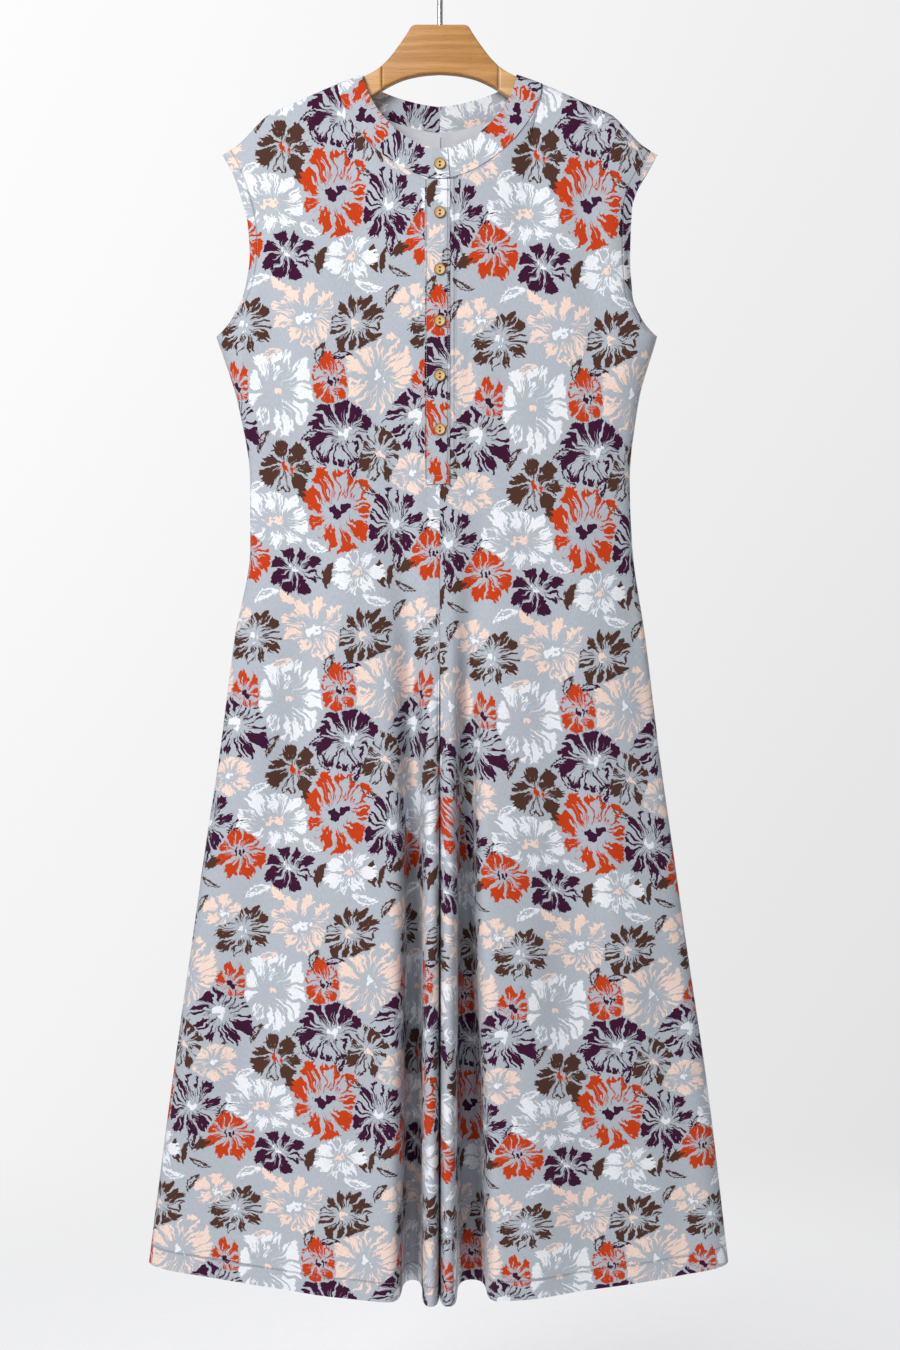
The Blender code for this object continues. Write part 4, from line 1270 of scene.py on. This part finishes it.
def surface(points, mirror, facing, wall):
    """World points just proud of a piece's outer face."""
    points = np.asarray(points, dtype=float).copy()
    points[:, 2] += wall / 2 + STITCH_PROUD
    return to_world(points, mirror, facing)


def armhole_row(grid):
    """Points a hem's width inside a panel's armhole edge, from underarm to shoulder."""
    points = []
    for row in grid[len(lower_drops()):-6:2]:
        across = row[-1, 0] - ARMHOLE_HEM
        points.append([np.interp(across, row[:, 0], row[:, axis]) for axis in range(3)])
    return points


def hem_row(grid):
    """Points a hem's width above a panel's lower edge, from centre to side."""
    rows = grid[:8]
    points = []
    for col in range(2, grid.shape[1] - 1):
        line = rows[:, col]
        drop = line[0, 1] - LEG_HEM
        points.append([np.interp(-drop, -line[:, 1], line[:, axis]) for axis in range(3)])
    return points


for label, mirror in (("left", -1), ("right", 1)):
    for seed, (half, facing) in enumerate((("front", -1), ("back", 1))):
        grid = grids[f"{half}_{label}"]
        rows = [surface(armhole_row(grid), mirror, facing, WALL),
                surface(hem_row(grid), mirror, facing, WALL)]
        stitch_rows(f"stitches_{half}_{label}", rows, seed + 2 * mirror + 5)

placket_rows = []
for across in (UPPER_LEFT + STRIP_STITCHES, UPPER_RIGHT - STRIP_STITCHES):
    line = np.array([[across, row[0, 1], np.interp(across, row[:, 0], row[:, 2])]
                     for row in upper_strip])
    placket_rows.append(surface(line, 1, -1, STRIP_WALL))
for offset in (STRIP_STITCHES, END_STITCHES):
    line = np.array([[x, UPPER_END - offset, float(centre_out(UPPER_END)) + LAYER_STEP]
                     for x in np.linspace(UPPER_LEFT + STRIP_STITCHES,
                                          UPPER_RIGHT - STRIP_STITCHES, 12)])
    placket_rows.append(surface(line, 1, -1, STRIP_WALL))
stitch_rows("stitches_placket", placket_rows, 11)

# The overlocked edge of the centre back seam, on the wrong side.
overlocked = []
for line in grids["back_left"][lower_drops().index(BACK_FORK):-8, 2]:
    overlocked.append((0.0, line[1], line[2] - WALL / 2 - OVERLOCK_THICKNESS / 2))
stitch_rows("overlock_back_seam", [to_world(overlocked, -1, 1)], 12, OVERLOCK_PITCH,
            OVERLOCK_LENGTH, OVERLOCK_THICKNESS)


# ---- Hanger -----------------------------------------------------------------------
# A flat shaped board of varnished beech: a golden head with two paler arms jointed to
# it, all with rounded edges. The grain runs from end to end.

BOARD_HALF = 6
BOARD_ROUND = 2.4
ARM_CLEARANCE = 3.2
ARM_JOINT = 64
ARM_END = 192
HEAD_UPPER = ((0, 60), (26, 60), (30, 61), (32.5, 63.5), (34.5, 67), (39, 74), (46, 84),
              (57, 98), (70, 109.5), (84, 117))
UNDERSIDE = ((0, 113), (15, 114), (36, 118), (57, 127), (74, 138), (95, 148), (120, 158),
             (150, 170), (178, 184))


def hanger_wood(name, light, dark):
    material, tree, shader = new_material(name, 0.38)
    place = coordinates(tree, "Object")
    bend = place.noise(9.0, 2.0, output=1).centred()
    bent = place.vector("ADD", bend.scaled(0.02, 0.004, 0.006))
    broad = bent.scaled(5, 60, 150).noise(1.0, 3.0, 0.55)
    fine = bent.scaled(45, 500, 1500).noise(1.0, 2.0, 0.6)
    pores = bent.scaled(110, 900, 1500).noise(1.0, 1.0)
    mixed = broad * 0.7 + fine * 0.3
    wood = mixed.smooth(0.36, 0.66).between(linear(*light), linear(*dark))
    wood = wood.pick(pores.smooth(0.63, 0.72) * 0.45, linear(*(0.7 * x for x in dark)), True)
    wood.feed(shader, "Base Color")
    (0.32 + fine * 0.16).feed(shader, "Roughness")
    bumpy(shader, fine * 0.6 + pores * 0.4, 0.00012)
    return material


HEAD_WOOD = hanger_wood("hanger_wood", (198, 144, 82), (168, 115, 58))
ARM_WOOD = hanger_wood("pale_wood", (218, 172, 116), (194, 146, 90))


def wood_top(across):
    """Drop of the hanger's upper edge."""
    arm = shoulder_drop(across) + ARM_CLEARANCE
    return np.where(np.asarray(across) < BAND_TOP_HALF, follow(HEAD_UPPER, across), arm)


def wood_bottom(across):
    """Drop of the hanger's lower edge."""
    return follow(UNDERSIDE, across)


def solid_of(curve):
    """The solid that a curve makes, as a bmesh with its doubles merged."""
    holder = placed(curve.name, curve)
    mesh = made_mesh(holder)
    bpy.data.objects.remove(holder)
    shape = bmesh.new()
    shape.from_mesh(mesh)
    bmesh.ops.remove_doubles(shape, verts=shape.verts, dist=0.00002)
    return shape


def board(name, outline, material):
    """A flat wooden piece with rounded edges, from its outline seen from the front."""
    curve = bpy.data.curves.new(name, "CURVE")
    curve.dimensions = "2D"
    curve.fill_mode = "BOTH"
    curve.extrude = (BOARD_HALF - BOARD_ROUND) * MM
    curve.bevel_depth = BOARD_ROUND * MM
    curve.bevel_resolution = 5
    curve.offset = -BOARD_ROUND * MM
    spline = curve.splines.new("POLY")
    spline.points.add(len(outline) - 1)
    for point, (across, drop) in zip(spline.points, outline):
        point.co = (across * MM, -(drop + DATUM) * MM, 0.0, 1.0)
    spline.use_cyclic_u = True
    shape = solid_of(curve)
    bmesh.ops.recalc_face_normals(shape, faces=shape.faces)
    for vert in shape.verts:
        vert.co = (vert.co.x, -vert.co.z, vert.co.y)
    piece = piece_from(shape, name, material)
    smooth_but_for(piece.data, 35)
    return piece


across = np.concatenate((np.linspace(0, 25, 8), np.linspace(26, 38, 19),
                         np.linspace(40, ARM_JOINT, 16)))
upper = [(x, float(wood_top(x))) for x in across]
lower = [(x, float(wood_bottom(x))) for x in np.linspace(ARM_JOINT, 0, 30)]
half_outline = upper + lower
whole = half_outline + [(-x, drop) for x, drop in reversed(half_outline) if x > 0]
head = board("hanger_head_board", whole, HEAD_WOOD)
keep(head, "hanger_wood", "hanger_head")

upper = [(x, float(wood_top(x))) for x in np.linspace(ARM_JOINT + SEAM_GAP, 184, 40)]
lower = [(x, float(wood_bottom(x))) for x in np.linspace(178, ARM_JOINT + SEAM_GAP, 36)]
nose = [(187.5, 163), (190.2, 165.2), (ARM_END, 168.5), (ARM_END, 176), (190.6, 180),
        (188, 183.2), (184, 185)]
for label, mirror in (("left", -1), ("right", 1)):
    outline = [(mirror * x, drop) for x, drop in upper + nose + lower]
    arm = board(f"hanger_arm_{label}_board", outline, ARM_WOOD)
    keep(arm, "pale_wood", "hanger_arm_" + label)


# ---- Hook -------------------------------------------------------------------------
# A polished steel rod screwed into the head, bent over to a half circle that goes
# round the rail.

HOOK_ROD = 3
HOOK_INNER = 17
HOOK_FOOT = 92
HOOK_NECK = 10        # how far below the ring the rod starts to bend
HOOK_LEAD = (9, 11)   # how far the bend keeps its heading at its two ends
HOOK_TURN = (-25, 205)       # degrees of the ring that the rod follows


def steel():
    material, tree, shader = new_material("steel", 0.22, metallic=1.0)
    place = coordinates(tree, "Object")
    brushed = place.scaled(900, 900, 60).noise(1.0, 2.0)
    tone = brushed.between(linear(205, 205, 206), linear(168, 168, 170))
    tone.feed(shader, "Base Color")
    (0.16 + brushed * 0.16).feed(shader, "Roughness")
    bumpy(shader, brushed, 0.00003)
    return material


STEEL = steel()


def hook_points():
    """The hook's middle line as (across, up), from its foot to its free end."""
    ring = HOOK_INNER + HOOK_ROD
    centre = -HOOK_INNER
    neck = centre - ring - HOOK_NECK
    join = math.radians(HOOK_TURN[0])
    ring_start = np.array((ring * math.cos(join), centre + ring * math.sin(join)))
    heading = np.array((-math.sin(join), math.cos(join)))
    bends = np.array(((0, neck), (0, neck + HOOK_LEAD[0]),
                      ring_start - HOOK_LEAD[1] * heading, ring_start))
    points = [(0.0, z) for z in np.linspace(-HOOK_FOOT, neck, 6)[:-1]]
    for u in np.linspace(0, 1, 20)[:-1]:
        weights = np.array(((1 - u) ** 3, 3 * u * (1 - u) ** 2, 3 * u * u * (1 - u), u ** 3))
        points.append(tuple(weights @ bends))
    for turn in np.radians(np.linspace(*HOOK_TURN, 60)):
        points.append((ring * math.cos(turn), centre + ring * math.sin(turn)))
    return points


rod = bpy.data.curves.new("hook_rod", "CURVE")
rod.dimensions = "3D"
rod.bevel_depth = HOOK_ROD * MM
rod.bevel_resolution = 8
rod.use_fill_caps = True
line = rod.splines.new("POLY")
middle = hook_points()
line.points.add(len(middle) - 1)
for point, (across, up) in zip(line.points, middle):
    point.co = (across * MM, 0.0, up * MM, 1.0)
rod.materials.append(STEEL)
hook = piece_from(solid_of(rod), "hook_steel", STEEL)
smooth_but_for(hook.data, 50)
keep(hook, "steel", "hook")


# ---- Floor, light and camera ------------------------------------------------------
# A plain pale floor under the garment, soft studio light from the left, and a camera
# straight in front at the middle of the garment's height.

CAMERA_AWAY = 2.06
CAMERA_DROP = 0.774
CAMERA_ACROSS = 0.011
FRAME_HEIGHT = 1.485         # what the frame's height takes in, at the hanger's plane
SENSOR = 36.0
FLOOR_DROP = 1.86
FLOOR_FADE = (0.5, 2.4)      # between these the floor melts into the backdrop
FLOOR_GLOW = 0.24            # light that the floor gives back to keep it pale
AMBIENT = 0.37

floor_shape = bmesh.new()
bmesh.ops.create_grid(floor_shape, x_segments=1, y_segments=1, size=6)
bmesh.ops.translate(floor_shape, verts=floor_shape.verts, vec=(0, 0, -FLOOR_DROP))
floor_material, floor_tree, floor_shader = new_material("floor", 0.9)
speckle = coordinates(floor_tree, "Object").noise(60.0, 3.0)
pale = speckle.between(linear(246, 246, 247), linear(240, 240, 242))
pale.feed(floor_shader, "Base Color")
floor_shader.inputs["Emission Color"].default_value = linear(246, 246, 247)
floor_shader.inputs["Emission Strength"].default_value = FLOOR_GLOW
away = coordinates(floor_tree, "Object").scaled(1, 1, 0)
(1 - away.length().smooth(*FLOOR_FADE)).feed(floor_shader, "Alpha")
floor = piece_from(floor_shape, "floor", floor_material)

world = bpy.data.worlds.new("studio")
world.use_nodes = True
sky = world.node_tree
glow = sky.nodes["Background"]
glow.inputs["Color"].default_value = (0.97, 0.98, 1.0, 1)
glow.inputs["Strength"].default_value = AMBIENT
backdrop = sky.nodes.new("ShaderNodeBackground")
backdrop.inputs["Color"].default_value = (0.995, 0.995, 1.0, 1)
direction = coordinates(sky, "Generated")
# The camera sees a pale wall with painted light on it: a little darker to the right
# and lighter above, as lit from the upper left.
level = (0.887 - direction.axis(0).smooth(-0.4, 0.4) * 0.17
         + direction.axis(2).smooth(-0.6, 0.6) * 0.14)
level.feed(backdrop, "Strength")
chosen = sky.nodes.new("ShaderNodeMixShader")
seen = sky.nodes.new("ShaderNodeLightPath")
sky.links.new(seen.outputs["Is Camera Ray"], chosen.inputs[0])
sky.links.new(glow.outputs[0], chosen.inputs[1])
sky.links.new(backdrop.outputs[0], chosen.inputs[2])
sky.links.new(chosen.outputs[0], sky.nodes["World Output"].inputs["Surface"])
bpy.context.scene.world = world


def softbox(name, place, target, size, power):
    """A square soft light that faces a target."""
    light = bpy.data.lights.new(name, "AREA")
    light.shape = "SQUARE"
    light.size = size
    light.energy = power
    lamp = placed(name, light)
    way = np.array(target) - np.array(place)
    across = math.atan2(way[0], way[1])
    lamp.location = place
    lamp.rotation_euler = (math.atan2(math.hypot(way[0], way[1]), -way[2]), 0, -across)


softbox("key", (-1.25, -2.3, 0.5), (0, 0, -0.65), 1.0, 70)
softbox("fill", (1.6, 2.4, -0.2), (0, 0, -0.8), 1.6, 30)

camera_data = bpy.data.cameras.new("camera")
camera_data.sensor_width = SENSOR
camera_data.lens = SENSOR * CAMERA_AWAY / FRAME_HEIGHT
camera_data.clip_start = 0.05
camera = placed("camera", camera_data)
camera.location = (CAMERA_ACROSS, -CAMERA_AWAY, -CAMERA_DROP - DATUM * MM)
camera.rotation_euler = (math.pi / 2, 0, 0)
bpy.context.scene.camera = camera
bpy.context.scene.view_settings.view_transform = "Standard"
